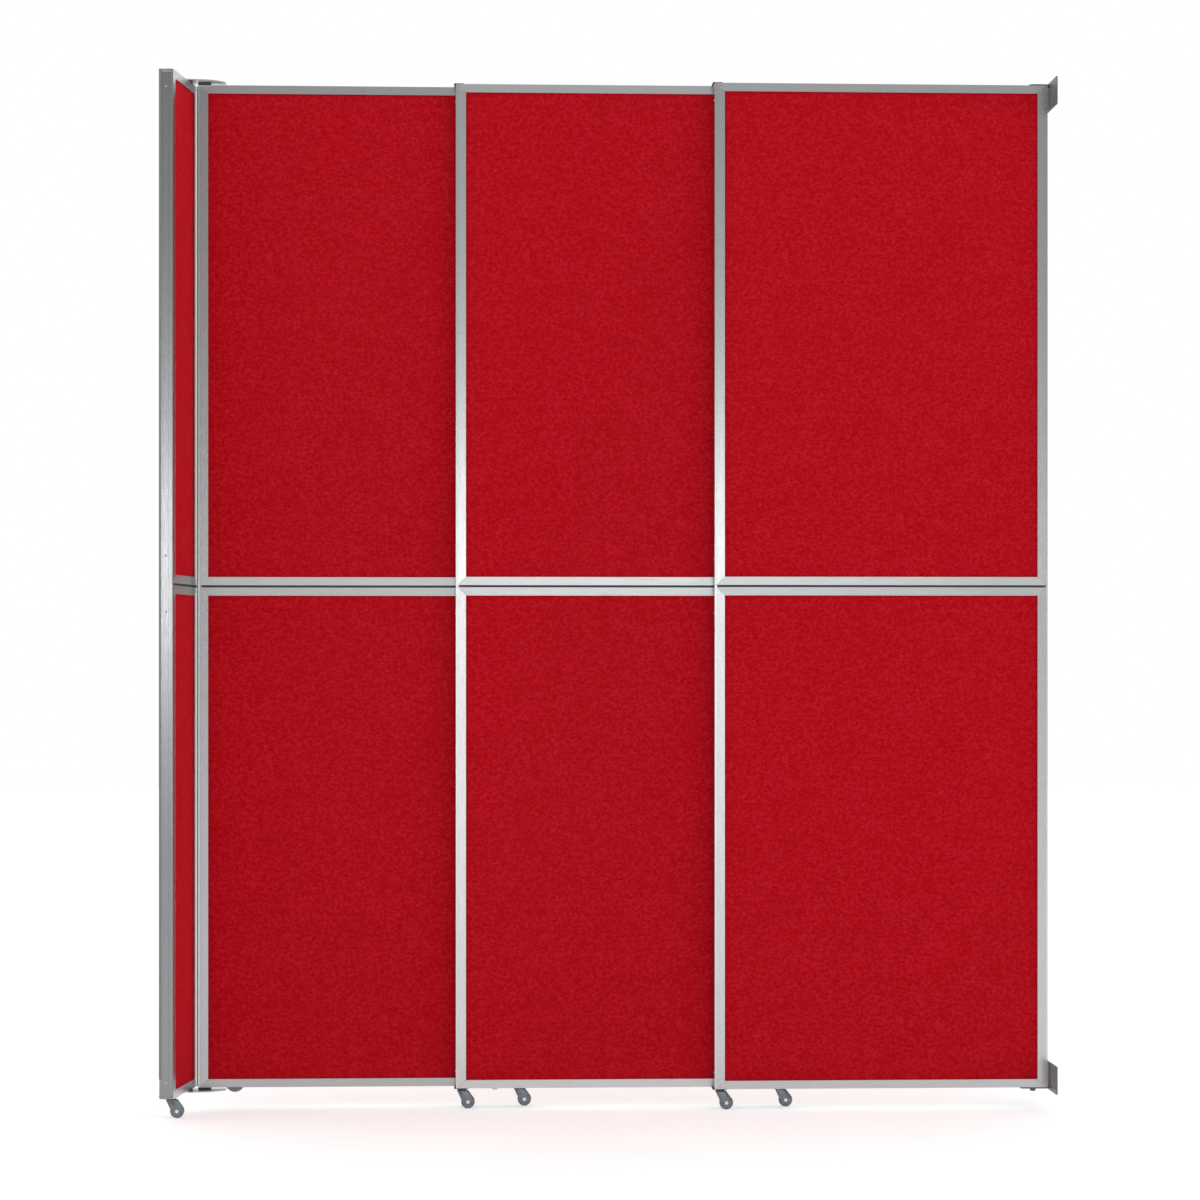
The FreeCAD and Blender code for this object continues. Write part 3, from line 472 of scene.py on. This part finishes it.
def woven_cover(fabric):
    """Close basket weave in mottled yarn, as on pinnable panels."""
    shader = Shader("red_woven_cover")
    place = shader.spot()
    axes = shader.node("SeparateXYZ", Vector=place).outputs
    sway = YARN_WOBBLE * fabric.yarn
    wobble = shader.span(shader.grain(place, 90.0, 2.0), 0.0, 1.0, -sway, sway)
    turns = 2 * math.pi / fabric.yarn
    weft, warp = [
        shader.calc("SINE", shader.calc("MULTIPLY", shader.calc("ADD", axis, wobble), turns))
        for axis in (axes[2], axes[0])]
    lift = shader.span(shader.calc("MULTIPLY", weft, warp), -1.0, 1.0)
    slub = shader.grain(place, (120.0, 120.0, 420.0), 3.0, 0.65)
    fleck = shader.grain(place, 330.0, 3.0, 0.6)
    felt = shader.grain(place, (85.0, 85.0, 105.0), 6.0, 0.72)
    patch = shader.grain(place, 10.0, 4.0, 0.7)
    tone = shader.calc("MULTIPLY_ADD", shader.span(fleck, 0.32, 0.68), 0.55,
                       shader.calc("MULTIPLY", shader.span(slub, 0.32, 0.68), 0.45))
    colour = shader.blend(tone, fabric.shade, fabric.colour)
    colour = shader.blend(shader.span(fleck, 0.60, 0.8, 0.0, 0.55), colour, fabric.haze)
    colour = shader.blend(shader.span(felt, 0.40, 0.66, 0.0, 0.42), colour, fabric.haze)
    colour = shader.blend(shader.span(felt, 0.36, 0.56, 1.0, 0.0), colour, fabric.shade)
    colour = shader.blend(shader.span(patch, 0.35, 0.65, 0.0, 0.27), colour, fabric.shade)
    # Painted shade: the colour darkens towards the shade colour where the weave dips between
    # the yarns
    colour = shader.blend(shader.span(lift, 0.0, 0.35, 0.30, 0.0), colour, fabric.shade)
    normal = shader.bump(lift, 0.00030, 0.8)
    normal = shader.bump(fleck, 0.00040, 0.7, under=normal)
    material = shader.finish(Base_Color=colour, Roughness=0.93, Normal=normal)
    shader.surface.inputs["Specular IOR Level"].default_value = 0.08
    shader.surface.inputs["Sheen Weight"].default_value = 0.05
    shader.surface.inputs["Sheen Roughness"].default_value = 0.55
    shader.surface.inputs["Sheen Tint"].default_value = (0.9, 0.15, 0.15, 1)
    return material


def board_mesh(name, size, edge, ripple):
    """A covered board: two faces in fine cells, with rounded edges that meet between them."""
    wide, deep, tall = size
    mesh = bmesh.new()

    def steps(length):
        """Places of the cells along a side, close together where the edge rolls over."""
        count = max(int(length / CELL), 3)
        inner = [edge + (length - 2 * edge) * i / count for i in range(count + 1)]
        turns = [math.pi / 2 * i / ROLLS for i in range(ROLLS)]
        start = [edge * (1 - math.cos(t)) for t in turns]
        return start + inner + [length - s for s in reversed(start)]

    def fall(spot, length):
        """How far the face has rolled back at this distance along it."""
        out = edge - min(spot, length - spot)
        return edge - math.sqrt(max(edge ** 2 - out ** 2, 0)) if out > 0 else 0.0

    across = steps(wide)
    upward = steps(tall)
    rims = {}
    for side in (-1, 1):
        grid = []
        for z in upward:
            line = []
            for x in across:
                back = max(fall(x, wide), fall(z, tall))
                rim = min(x, wide - x, z, tall - z)
                calm = min(max((rim - RIPPLE_START) / RIPPLE_GROWS, 0), 1)
                wave = noise.noise(Vector((x * RIPPLE_SCALE, side * FACE_OFFSET,
                                           z * RIPPLE_SCALE))) * ripple * calm
                y = side * (deep / 2 - back - ripple) + side * wave
                line.append(mesh.verts.new((x, y, z)))
            grid.append(line)
        for low, high in zip(grid, grid[1:]):
            for i in range(len(low) - 1):
                ring = (low[i], low[i + 1], high[i + 1], high[i])
                mesh.faces.new(ring if side < 0 else ring[::-1])
        rims[side] = (grid[0] + [line[-1] for line in grid[1:]] + grid[-1][-2::-1]
                      + [line[0] for line in grid[-2:0:-1]])
    near, far = rims[-1], rims[1]
    for i, spot in enumerate(near):
        after = (i + 1) % len(near)
        mesh.faces.new((spot, far[i], far[after], near[after]))
    bmesh.ops.recalc_face_normals(mesh, faces=mesh.faces)
    return made_mesh(name, mesh, crisp=0.9)


class DIVIDER_OT_boards(bpy.types.Operator):
    """Cover every board with stretched red fabric"""
    bl_idname = "divider.boards"
    bl_label = "Cover Boards"

    def execute(self, context):
        fabric = context.scene.divider_fabric
        cover = woven_cover(fabric)
        for part in PARTS:
            for level in LEVELS:
                node = f"{part}_{level}_board"
                low, high = own_box(node, part)
                name = f"{part}_{level}_cover"
                mesh = board_mesh(name, high - low, fabric.edge, fabric.ripple)
                corner = Vector((low.x, (low.y + high.y) / 2, low.z))
                place = turned(part) @ Matrix.Translation(corner)
                piece = add_piece(name, mesh, cover, body_of(part), place)
                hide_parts(node)
        return {"FINISHED"}


# Small fixings

RIVET_HEIGHT = 0.0006
SCREW_HEIGHT = 0.0020
# Radius of the hexagonal recess, as a share of the head's
RECESS = 0.5
# Floor of the recess, as a share of the head's height
RECESS_FLOOR = 0.25
HEAD_SIDES = 24
# A domed head from its rim to its top, in shares of its radius and height
HEAD_PROFILE = ((1.0, 0.0), (1.0, 0.3), (0.93, 0.62), (0.78, 0.88), (0.6, 1.0))
# The corner plates' screws, from the end of the rear frame
PLATE_SCREWS = (0.030, 0.075)


def head_mesh(name, radius, height, recess):
    """A low domed head on the XY plane, with a hexagonal recess when one is given."""
    mesh = bmesh.new()

    def ring(reach, z, hexagon=False):
        """One loop of corners at this height, round or with six straight sides."""
        spots = []
        for i in range(HEAD_SIDES):
            angle = 2 * math.pi * i / HEAD_SIDES
            if hexagon:
                within = (angle + math.pi / 6) % (math.pi / 3) - math.pi / 6
                length = reach * math.cos(math.pi / 6) / math.cos(within)
            else:
                length = reach
            spot = (length * math.cos(angle), length * math.sin(angle), z)
            spots.append(mesh.verts.new(spot))
        return spots

    loops = [ring(radius * out, height * up) for out, up in HEAD_PROFILE]
    if recess:
        loops.append(ring(recess, height, hexagon=True))
        loops.append(ring(recess, height * RECESS_FLOOR, hexagon=True))
    for low, high in zip(loops, loops[1:]):
        for i in range(HEAD_SIDES):
            after = (i + 1) % HEAD_SIDES
            mesh.faces.new((low[i], low[after], high[after], high[i]))
    mesh.faces.new(loops[-1])
    mesh.faces.new(loops[0][::-1])
    return made_mesh(name, mesh)


def facing(spot, direction):
    """A place at the spot with the head's axis along the direction."""
    turn = Vector((0, 0, 1)).rotation_difference(Vector(direction)).to_matrix().to_4x4()
    return Matrix.Translation(spot) @ turn


def joined(name, mesh, places):
    """One mesh with a copy of the given one at each place."""
    copies = []
    for place in places:
        copies.append(mesh.copy())
        copies[-1].transform(place)
    return merged(name, copies)


def bright_screw(name, colour):
    """Plated or anodised heads, a little darker in their grain."""
    shader = Shader(name)
    place = shader.spot()
    grain = shader.grain(place, 900.0)
    dark = [c * 0.8 for c in colour]
    colour = shader.blend(shader.span(grain, 0.35, 0.65), dark, colour)
    normal = shader.bump(grain, 0.00003)
    rough = shader.span(grain, 0.3, 0.7, 0.22, 0.36)
    return shader.finish(Base_Color=colour, Metallic=1.0, Roughness=rough, Normal=normal)


class DIVIDER_OT_fixings(bpy.types.Operator):
    """Add the rivets at the frames' corners and the screws in the edge strips"""
    bl_idname = "divider.fixings"
    bl_label = "Add Fixings"

    def execute(self, context):
        fixings = context.scene.divider_fixings
        metal = context.scene.divider_metal
        rivet = head_mesh("rivet_head", fixings.rivet, RIVET_HEIGHT, 0)
        screw = head_mesh("screw_head", fixings.screw, SCREW_HEIGHT,
                          fixings.screw * RECESS)
        plated = bright_screw("zinc_screws", metal.zinc)
        anodised = bright_screw("aluminium_rivets", metal.aluminium)
        for part in PARTS:
            places = []
            for level in LEVELS:
                low, high = own_box(f"{part}_{level}_frame", part)
                inset = RAIL_FACE / 2
                for x in (low.x + inset, high.x - inset):
                    for z in (low.z + inset, high.z - inset):
                        places.append(facing((x, low.y, z), (0, -1, 0)))
                        places.append(facing((x, high.y, z), (0, 1, 0)))
            mesh = joined(f"{part}_corner_rivets", rivet, places)
            add_piece(f"{part}_corner_rivets", mesh, anodised, body_of(part),
                      turned(part))
            low, high = own_box(f"{part}_edge_strips", part)
            middle = (low.z + high.z) / 2
            depth = (low.y + high.y) / 2
            heights = (low.z + fixings.end_reach, middle - fixings.mid_reach,
                       middle + fixings.mid_reach, high.z - fixings.end_reach)
            places = [facing((high.x, depth, z), (1, 0, 0)) for z in heights]
            if part != "end":
                places += [facing((low.x, depth, z), (-1, 0, 0)) for z in heights]
            mesh = joined(f"{part}_strip_screws", screw, places)
            add_piece(f"{part}_strip_screws", mesh, plated, body_of(part),
                      turned(part))
        low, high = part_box("rear_upper_frame")
        depth = (low.y + high.y) / 2
        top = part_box("upper_corner_plate")[1].z
        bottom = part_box("lower_corner_plate")[0].z
        places = []
        for reach in PLATE_SCREWS:
            places.append(facing((low.x + reach, depth, top), (0, 0, 1)))
            places.append(facing((low.x + reach, depth, bottom), (0, 0, -1)))
        mesh = joined("corner_plate_screws", screw, places)
        add_piece("corner_plate_screws", mesh, plated, "rear_column")
        return {"FINISHED"}


# Seals

# Edges that turn more than this are rounded, in radians
SHARP_ANGLE = 0.6
# A gap gasket's back, its ribs and the groove between them, behind the frames' faces
GASKET_BACK = 0.0050
GASKET_RIB = 0.0018
GASKET_GROOVE = 0.0028
# The corner lip: how far behind the strip's face it starts, how much shorter it is at each
# end, and its outline, along the row from the strip's edge and then backwards
LIP_BEHIND = 0.0035
LIP_SHORT = 0.004
LIP_OUTLINE = ((0.0004, 0.0), (-0.0014, 0.0), (-0.0028, 0.0010), (-0.0032, 0.0025),
               (-0.0028, 0.0040), (-0.0014, 0.0050), (0.0004, 0.0050))


def extruded(name, outline, start, end, axis="x", edge=0.0):
    """An outline swept straight from start to end along an axis, with its edges rounded."""
    mesh = bmesh.new()

    def spot(pair, reach):
        """A corner of the outline, moved along the axis."""
        if axis == "x":
            return (reach, pair[0], pair[1])
        if axis == "y":
            return (pair[0], reach, pair[1])
        return (pair[0], pair[1], reach)

    near = [mesh.verts.new(spot(pair, start)) for pair in outline]
    far = [mesh.verts.new(spot(pair, end)) for pair in outline]
    mesh.faces.new(near[::-1])
    mesh.faces.new(far)
    for i in range(len(near)):
        after = (i + 1) % len(near)
        mesh.faces.new((near[i], near[after], far[after], far[i]))
    bmesh.ops.recalc_face_normals(mesh, faces=mesh.faces)
    if edge:
        sharp = [e for e in mesh.edges if e.calc_face_angle(0.0) > SHARP_ANGLE]
        bmesh.ops.bevel(mesh, geom=sharp, offset=edge, segments=2, affect="EDGES",
                        profile=0.5)
    return made_mesh(name, mesh)


def gasket_outline(face, way, low, high):
    """A strip with two ribs, standing between two rails behind their faces."""
    rib = (high - low) / 4
    inner = face + way * GASKET_BACK
    outer = face + way * GASKET_RIB
    dip = face + way * GASKET_GROOVE
    return [(inner, low), (outer, low), (outer, low + rib), (dip, low + rib * 1.5),
            (dip, high - rib * 1.5), (outer, high - rib), (outer, high), (inner, high)]


class DIVIDER_OT_seals(bpy.types.Operator):
    """Close the gap between the upper and lower frames, and the corner's gap, with near-black
    rubber that serves as painted shade
    """
    bl_idname = "divider.seals"
    bl_label = "Add Seals"

    def execute(self, context):
        # Painted shade: the gaskets and the corner lip are near-black, standing in for the
        # shade in the gap between the frames and in the corner
        painted_shade_rubber = moulded_plastic("gap_painted_shade_rubber", (0.045, 0.046, 0.047), 0.75)
        for part in PARTS:
            low, high = own_box(f"{part}_lower_frame", part)
            above = own_box(f"{part}_upper_frame", part)[0]
            strips = [extruded(f"{part}_gasket_side",
                               gasket_outline(face, way, high.z, above.z),
                               low.x + TONGUE, high.x - TONGUE)
                      for face, way in ((low.y, 1), (high.y, -1))]
            mesh = merged(f"{part}_gap_gasket", strips)
            add_piece(f"{part}_gap_gasket", mesh, painted_shade_rubber, body_of(part),
                      turned(part))
        low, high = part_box("rear_edge_strips")
        lip = [(low.x + out, low.y + LIP_BEHIND + back) for out, back in LIP_OUTLINE]
        mesh = extruded("corner_lip", lip, low.z + LIP_SHORT, high.z - LIP_SHORT, axis="z")
        add_piece("corner_lip", mesh, painted_shade_rubber, "rear_column")
        return {"FINISHED"}


# Plates, guides, bushes and casters

BLACK = (0.012, 0.012, 0.013)
# Radii between which a wheel's hub passes into its tyre, and its tyre into the tread
HUB_EDGE = (0.0172, 0.0176)
TREAD_EDGE = (0.0243, 0.0249)
# The fork's sides, from the kingpin: the back edge, then the axle ahead and its height
FORK_BACK = 0.017
FORK_AXLE = (0.022, 0.025)
# Reach of the sides round the axle, how much it grows to the front, and the angles in
# degrees: those of the steps, and where the growth starts and over how much it goes
BOSS_REACH = 0.019
NOSE_REACH = 0.0054
BOSS_STEPS = 17
BOSS_START = -150
BOSS_STEP = 12
NOSE_START = -70
NOSE_TURN = 110
# Half widths: the sides' outer and inner faces, and the crown just short of the outer ones
FORK_HALF = 0.014
SIDE_INSIDE = 0.0115
CROWN_HALF = 0.0139
CROWN_THICK = 0.004
FORK_ROUND = 0.0008


def coated_steel(name, colour):
    """Powder coat with its fine orange-peel."""
    shader = Shader(name)
    place = shader.spot()
    peel = shader.grain(place, 700.0, 3.0)
    cloud = shader.grain(place, 14.0, 3.0)
    wear_and_painted_shade = [min(c * 1.5 + 0.02, 1) for c in colour]
    shade = shader.blend(shader.span(cloud, 0.3, 0.75, 0.0, 0.45), colour, wear_and_painted_shade)
    normal = shader.bump(peel, 0.00008, under=shader.soft_edges(0.0008))
    return shader.finish(Base_Color=shade, Roughness=0.4, Normal=normal)


def plated_steel(name, colour, rough=0.3):
    """Zinc plate with its soft spangle and small scratches."""
    shader = Shader(name)
    place = shader.spot()
    cells = shader.node("TexVoronoi", Vector=place, Scale=160.0).outputs["Distance"]
    scratch = shader.grain(place, (60.0, 900.0, 900.0), 3.0)
    dark = [c * 0.68 for c in colour]
    shade = shader.blend(shader.span(cells, 0.1, 0.8), dark, colour)
    shade = shader.blend(shader.span(scratch, 0.6, 0.75, 0.0, 0.35), shade, dark)
    gloss = shader.span(cells, 0.0, 0.9, rough - 0.07, rough + 0.10)
    normal = shader.bump(scratch, 0.00004, under=shader.soft_edges(0.0006))
    return shader.finish(Base_Color=shade, Metallic=1.0, Roughness=gloss, Normal=normal)


def corner_plate_finish(name, zinc, edge):
    """Zinc plate, with the spacer block between it and the frame's edge painted black as the
    shade under the plate.
    """
    material = plated_steel(f"{name}_finish", zinc)
    shader = Shader.over(material)
    height = shader.node("SeparateXYZ", Vector=shader.spot()).outputs[2]
    off = shader.calc("ABSOLUTE", shader.calc("SUBTRACT", height, edge))
    # Painted shade: the spacer block near the frame's edge is coloured black, standing in for
    # the shade under the plate
    block = shader.calc("LESS_THAN", off, SPACER)
    paint = shader.surface.inputs["Base Color"].links[0].from_socket
    colour = shader.blend(block, paint, BLACK)
    bare = shader.calc("SUBTRACT", 1.0, block)
    return shader.finish(Base_Color=colour, Metallic=bare)


def moulded_plastic(name, colour, rough=0.45, texture=0.00006):
    """Moulded plastic with a spark-eroded texture."""
    shader = Shader(name)
    place = shader.spot()
    fine = shader.grain(place, 1500.0, 2.0)
    cloud = shader.grain(place, 40.0, 2.0)
    light = [min(c * 1.25 + 0.004, 1) for c in colour]
    shade = shader.blend(shader.span(cloud, 0.3, 0.7), colour, light)
    gloss = shader.span(cloud, 0.3, 0.7, rough - 0.06, rough + 0.08)
    normal = shader.bump(fine, texture, under=shader.soft_edges(0.0006))
    return shader.finish(Base_Color=shade, Roughness=gloss, Normal=normal)


def caster_wheel(name, centre):
    """A gray soft tyre on a harder hub, told apart by their distance from the axle."""
    shader = Shader(name)
    place = shader.spot()
    axes = shader.node("SeparateXYZ", Vector=place).outputs
    run = shader.calc("SUBTRACT", axes[0], centre.x)
    rise = shader.calc("SUBTRACT", axes[2], centre.z)
    reach = shader.calc("SQRT", shader.calc("ADD", shader.calc("MULTIPLY", run, run),
                                            shader.calc("MULTIPLY", rise, rise)))
    on_tyre = shader.span(reach, *HUB_EDGE)
    fine = shader.grain(place, 900.0, 3.0)
    dirt = shader.grain(place, 120.0, 4.0)
    tyre = shader.blend(shader.span(dirt, 0.35, 0.7), (0.16, 0.17, 0.175),
                        (0.25, 0.26, 0.265))
    hub = shader.blend(shader.span(dirt, 0.35, 0.7), (0.07, 0.075, 0.08),
                       (0.12, 0.125, 0.13))
    tread = shader.span(reach, *TREAD_EDGE)
    tyre = shader.blend(shader.calc("MULTIPLY", tread, 0.5), tyre, (0.10, 0.10, 0.10))
    colour = shader.blend(on_tyre, hub, tyre)
    rough = shader.choose(on_tyre, 0.4, 0.62)
    normal = shader.bump(fine, 0.00006, under=shader.soft_edges(0.0008))
    return shader.finish(Base_Color=colour, Roughness=rough, Normal=normal)


def fork_mesh(name, tall):
    """A pressed fork round its kingpin: a crown plate, and two teardrop sides."""
    ahead, axle = FORK_AXLE
    sides = [(-FORK_BACK, tall)]
    for step in range(BOSS_STEPS):
        angle = BOSS_START + step * BOSS_STEP
        grown = min(max((angle - NOSE_START) / NOSE_TURN, 0), 1)
        reach = BOSS_REACH + NOSE_REACH * grown * grown * (3 - 2 * grown)
        sides.append((ahead + reach * math.cos(math.radians(angle)),
                      axle + reach * math.sin(math.radians(angle))))
    sides.append((ahead, tall))
    under = tall - CROWN_THICK
    crown = [(-FORK_BACK, under), (ahead, under), (ahead, tall), (-FORK_BACK, tall)]
    plates = [extruded(f"fork_{side}", outline, start, end, axis="y", edge=FORK_ROUND)
              for side, outline, start, end in (
                  ("left", sides, -FORK_HALF, -SIDE_INSIDE),
                  ("right", sides, SIDE_INSIDE, FORK_HALF),
                  ("crown", crown, -CROWN_HALF, CROWN_HALF))]
    return merged(name, plates)


class DIVIDER_OT_hardware(bpy.types.Operator):
    """Finish the brackets, plates, guides, bushes, stops and casters"""
    bl_idname = "divider.hardware"
    bl_label = "Finish Hardware"

    def execute(self, context):
        metal = context.scene.divider_metal
        bracket = coated_steel("bracket_coat", metal.steel)
        zinc = plated_steel("zinc_plate_finish", metal.zinc)
        fork = plated_steel("caster_steel_finish", metal.fork, 0.26)
        axle = plated_steel("axle_steel_finish", (0.78, 0.79, 0.80), 0.2)
        guide = moulded_plastic("guide_black_plastic", BLACK)
        bush = moulded_plastic("bush_white_plastic", (0.62, 0.62, 0.60), 0.35)
        cap = moulded_plastic("cap_gray_plastic", (0.24, 0.245, 0.25), 0.42)
        bumper = moulded_plastic("bumper_gray_rubber", (0.16, 0.18, 0.17), 0.55, 0.0001)
        seal = moulded_plastic("seal_gray_rubber", (0.20, 0.205, 0.21), 0.5, 0.0001)
        mount = coated_steel("caster_mount_coat", (0.028, 0.029, 0.031))
        dress("upper_wall_bracket", bracket)
        dress("lower_wall_bracket", bracket)
        dress("middle_slide_stop", zinc)
        for level, end in (("upper", 1), ("lower", 0)):
            node = f"{level}_corner_plate"
            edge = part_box(f"rear_{level}_frame")[end].z
            dress(node, corner_plate_finish(node, (0.86, 0.87, 0.88), edge))
        for node in GUIDES:
            dress(node, guide)
        for node in ("wall_pivot_bushes", "corner_pivot_bushes"):
            dress(node, bush)
        dress("end_post_caps", cap)
        dress("rear_slide_bumper", bumper)
        dress("end_seal_strip", seal)
        for caster in CASTERS:
            dress(f"{caster}_caster_mount", mount)
            node = f"{caster}_caster_fork"
            low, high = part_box(node)
            place = Matrix.Translation((low.x + FORK_BACK, (low.y + high.y) / 2, 0))
            piece = add_piece(f"{caster}_caster_shell", fork_mesh(node, high.z), fork,
                              f"{caster}_caster_swivel_body", place)
            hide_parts(node)
            dress(f"{caster}_caster_axle", axle)
            wheel = f"{caster}_caster_wheel"
            low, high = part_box(wheel)
            dress(wheel, caster_wheel(f"{wheel}_finish", (low + high) / 2))
        return {"FINISHED"}


# Stage

def pale_floor():
    """A plain pale floor that keeps the divider's shadow and runs into the backdrop."""
    shader = Shader("pale_floor")
    path = shader.node("LightPath").outputs
    seen = shader.calc("MAXIMUM", path["Is Camera Ray"],
                      shader.calc("MAXIMUM", path["Is Glossy Ray"],
                                 path["Is Transmission Ray"]))
    place = shader.spot()
    cloud = shader.grain(place, 1.5, 3.0)
    colour = shader.blend(cloud, (0.73, 0.735, 0.735), (0.77, 0.775, 0.775))
    shader.finish(Base_Color=colour, Roughness=0.9, Emission_Color=(1, 1, 1),
                  Emission_Strength=shader.calc("MULTIPLY", seen, 0.44))
    shader.surface.inputs["Specular IOR Level"].default_value = 0.0
    return shader.material


def studio_world(fill):
    """White behind the divider, and a gray room in front of it, darker up and to the sides.

    The camera sees plain white, the metal mirrors the room, and the rest gets the fill.
    """
    world = bpy.data.worlds.new("studio")
    world.use_nodes = True
    tree = world.node_tree
    tree.nodes.clear()

    def add(kind, *sources, **settings):
        """A new node with its inputs in order; None leaves one as it is."""
        made = tree.nodes.new(f"ShaderNode{kind}")
        for word, setting in settings.items():
            setattr(made, word, setting)
        for i, source in enumerate(sources):
            if isinstance(source, bpy.types.NodeSocket):
                tree.links.new(source, made.inputs[i])
            elif source is not None:
                made.inputs[i].default_value = source
        return made.outputs

    path = add("LightPath")
    axes = add("SeparateXYZ", add("TexCoord")["Generated"])
    behind = add("MapRange", axes[1], -0.2, 0.2)[0]
    rise = add("MapRange", axes[2], 0.0, 0.20, 0.64, 0.50)[0]
    aside = add("Math", axes[0], 0.02, operation="SUBTRACT")[0]
    aside = add("Math", aside, operation="ABSOLUTE")[0]
    aside = add("MapRange", aside, 0.02, 0.16, 1.0, 0.62)[0]
    room = add("Math", rise, aside, operation="MULTIPLY")[0]
    mirror = add("Math", path["Is Glossy Ray"], path["Is Transmission Ray"],
                 operation="MAXIMUM")[0]
    shown = add("Math", mirror, behind, operation="MULTIPLY")[0]
    white = add("Math", shown, path["Is Camera Ray"], operation="MAXIMUM")[0]
    dim = add("Mix", mirror, None, fill, room, data_type="FLOAT")[0]
    strength = add("Mix", white, None, dim, 1.0, data_type="FLOAT")[0]
    background = add("Background", (1, 1, 1, 1), strength)
    add("OutputWorld", background[0])
    return world


def light_panel(name, place, aim, wide, tall, glow):
    """A soft panel of this radiance at its place, turned to its aim."""
    lamp = bpy.data.lights.new(name, "AREA")
    lamp.shape = "RECTANGLE"
    lamp.size = wide
    lamp.size_y = tall
    lamp.energy = glow * math.pi * wide * tall
    holder = bpy.data.objects.new(name, lamp)
    way = (Vector(aim) - Vector(place)).to_track_quat("-Z", "Y")
    holder.matrix_world = Matrix.Translation(place) @ way.to_matrix().to_4x4()
    holder.visible_camera = False
    bpy.context.scene.collection.objects.link(holder)
    return holder


class DIVIDER_OT_stage(bpy.types.Operator):
    """Set the floor, the backdrop, the soft lights and the camera"""
    bl_idname = "divider.stage"
    bl_label = "Set Stage"

    def execute(self, context):
        scene = context.scene
        stage = scene.divider_stage
        mesh = bmesh.new()
        bmesh.ops.create_grid(mesh, x_segments=8, y_segments=8, size=FLOOR_HALF)
        made = bpy.data.meshes.new("floor")
        mesh.to_mesh(made)
        mesh.free()
        floor = bpy.data.objects.new("floor", made)
        made.materials.append(pale_floor())
        scene.collection.objects.link(floor)
        scene.world = studio_world(stage.fill)
        for name, (x, z, wide, tall, glow) in PANELS.items():
            light_panel(name, (x, PANEL_Y, z), (x, 0.0, z), wide, tall, glow * stage.glow)
        side = light_panel("side_panel", SIDE_PLACE, SIDE_AIM, *SIDE_SIZE, stage.side)
        side.data.spread = SIDE_SPREAD
        side.visible_glossy = False
        lens = bpy.data.cameras.new("view")
        lens.lens = stage.lens
        lens.sensor_width = 36
        lens.shift_y = stage.rise
        lens.clip_end = 100
        camera = bpy.data.objects.new("view", lens)
        camera.location = stage.place
        camera.rotation_euler = (math.pi / 2, 0, -stage.yaw)
        scene.collection.objects.link(camera)
        scene.camera = camera
        scene.view_settings.view_transform = "Standard"
        return {"FINISHED"}


class DIVIDER_PT_panel(bpy.types.Panel):
    """Every setting, and a button for each step"""
    bl_label = "Room Divider"
    bl_idname = "DIVIDER_PT_panel"
    bl_space_type = "VIEW_3D"
    bl_region_type = "UI"
    bl_category = "Divider"

    def draw(self, context):
        for group in GROUPS:
            box = self.layout.box()
            settings = getattr(context.scene, group)
            for word in settings.bl_rna.properties.keys():
                if word not in ("rna_type", "name"):
                    box.prop(settings, word)
        for operator in OPERATORS:
            self.layout.operator(operator.bl_idname)


GROUPS = {
    "divider_fabric": DividerFabric,
    "divider_metal": DividerMetal,
    "divider_fixings": DividerFixings,
    "divider_stage": DividerStage,
}
OPERATORS = (DIVIDER_OT_aluminium, DIVIDER_OT_boards, DIVIDER_OT_fixings,
             DIVIDER_OT_seals, DIVIDER_OT_hardware, DIVIDER_OT_stage)


def register():
    """Add the settings, the steps and the sidebar panel."""
    for made in (*GROUPS.values(), *OPERATORS, DIVIDER_PT_panel):
        bpy.utils.register_class(made)
    for word, group in GROUPS.items():
        setattr(bpy.types.Scene, word, bpy.props.PointerProperty(type=group))


def unregister():
    """Take them away again."""
    for word in GROUPS:
        delattr(bpy.types.Scene, word)
    for made in (DIVIDER_PT_panel, *reversed(OPERATORS), *GROUPS.values()):
        bpy.utils.unregister_class(made)


def main():
    """Finish the divider in order."""
    register()
    bpy.ops.divider.aluminium()
    bpy.ops.divider.boards()
    bpy.ops.divider.fixings()
    bpy.ops.divider.seals()
    bpy.ops.divider.hardware()
    bpy.ops.divider.stage()


if __name__ == "__main__":
    main()
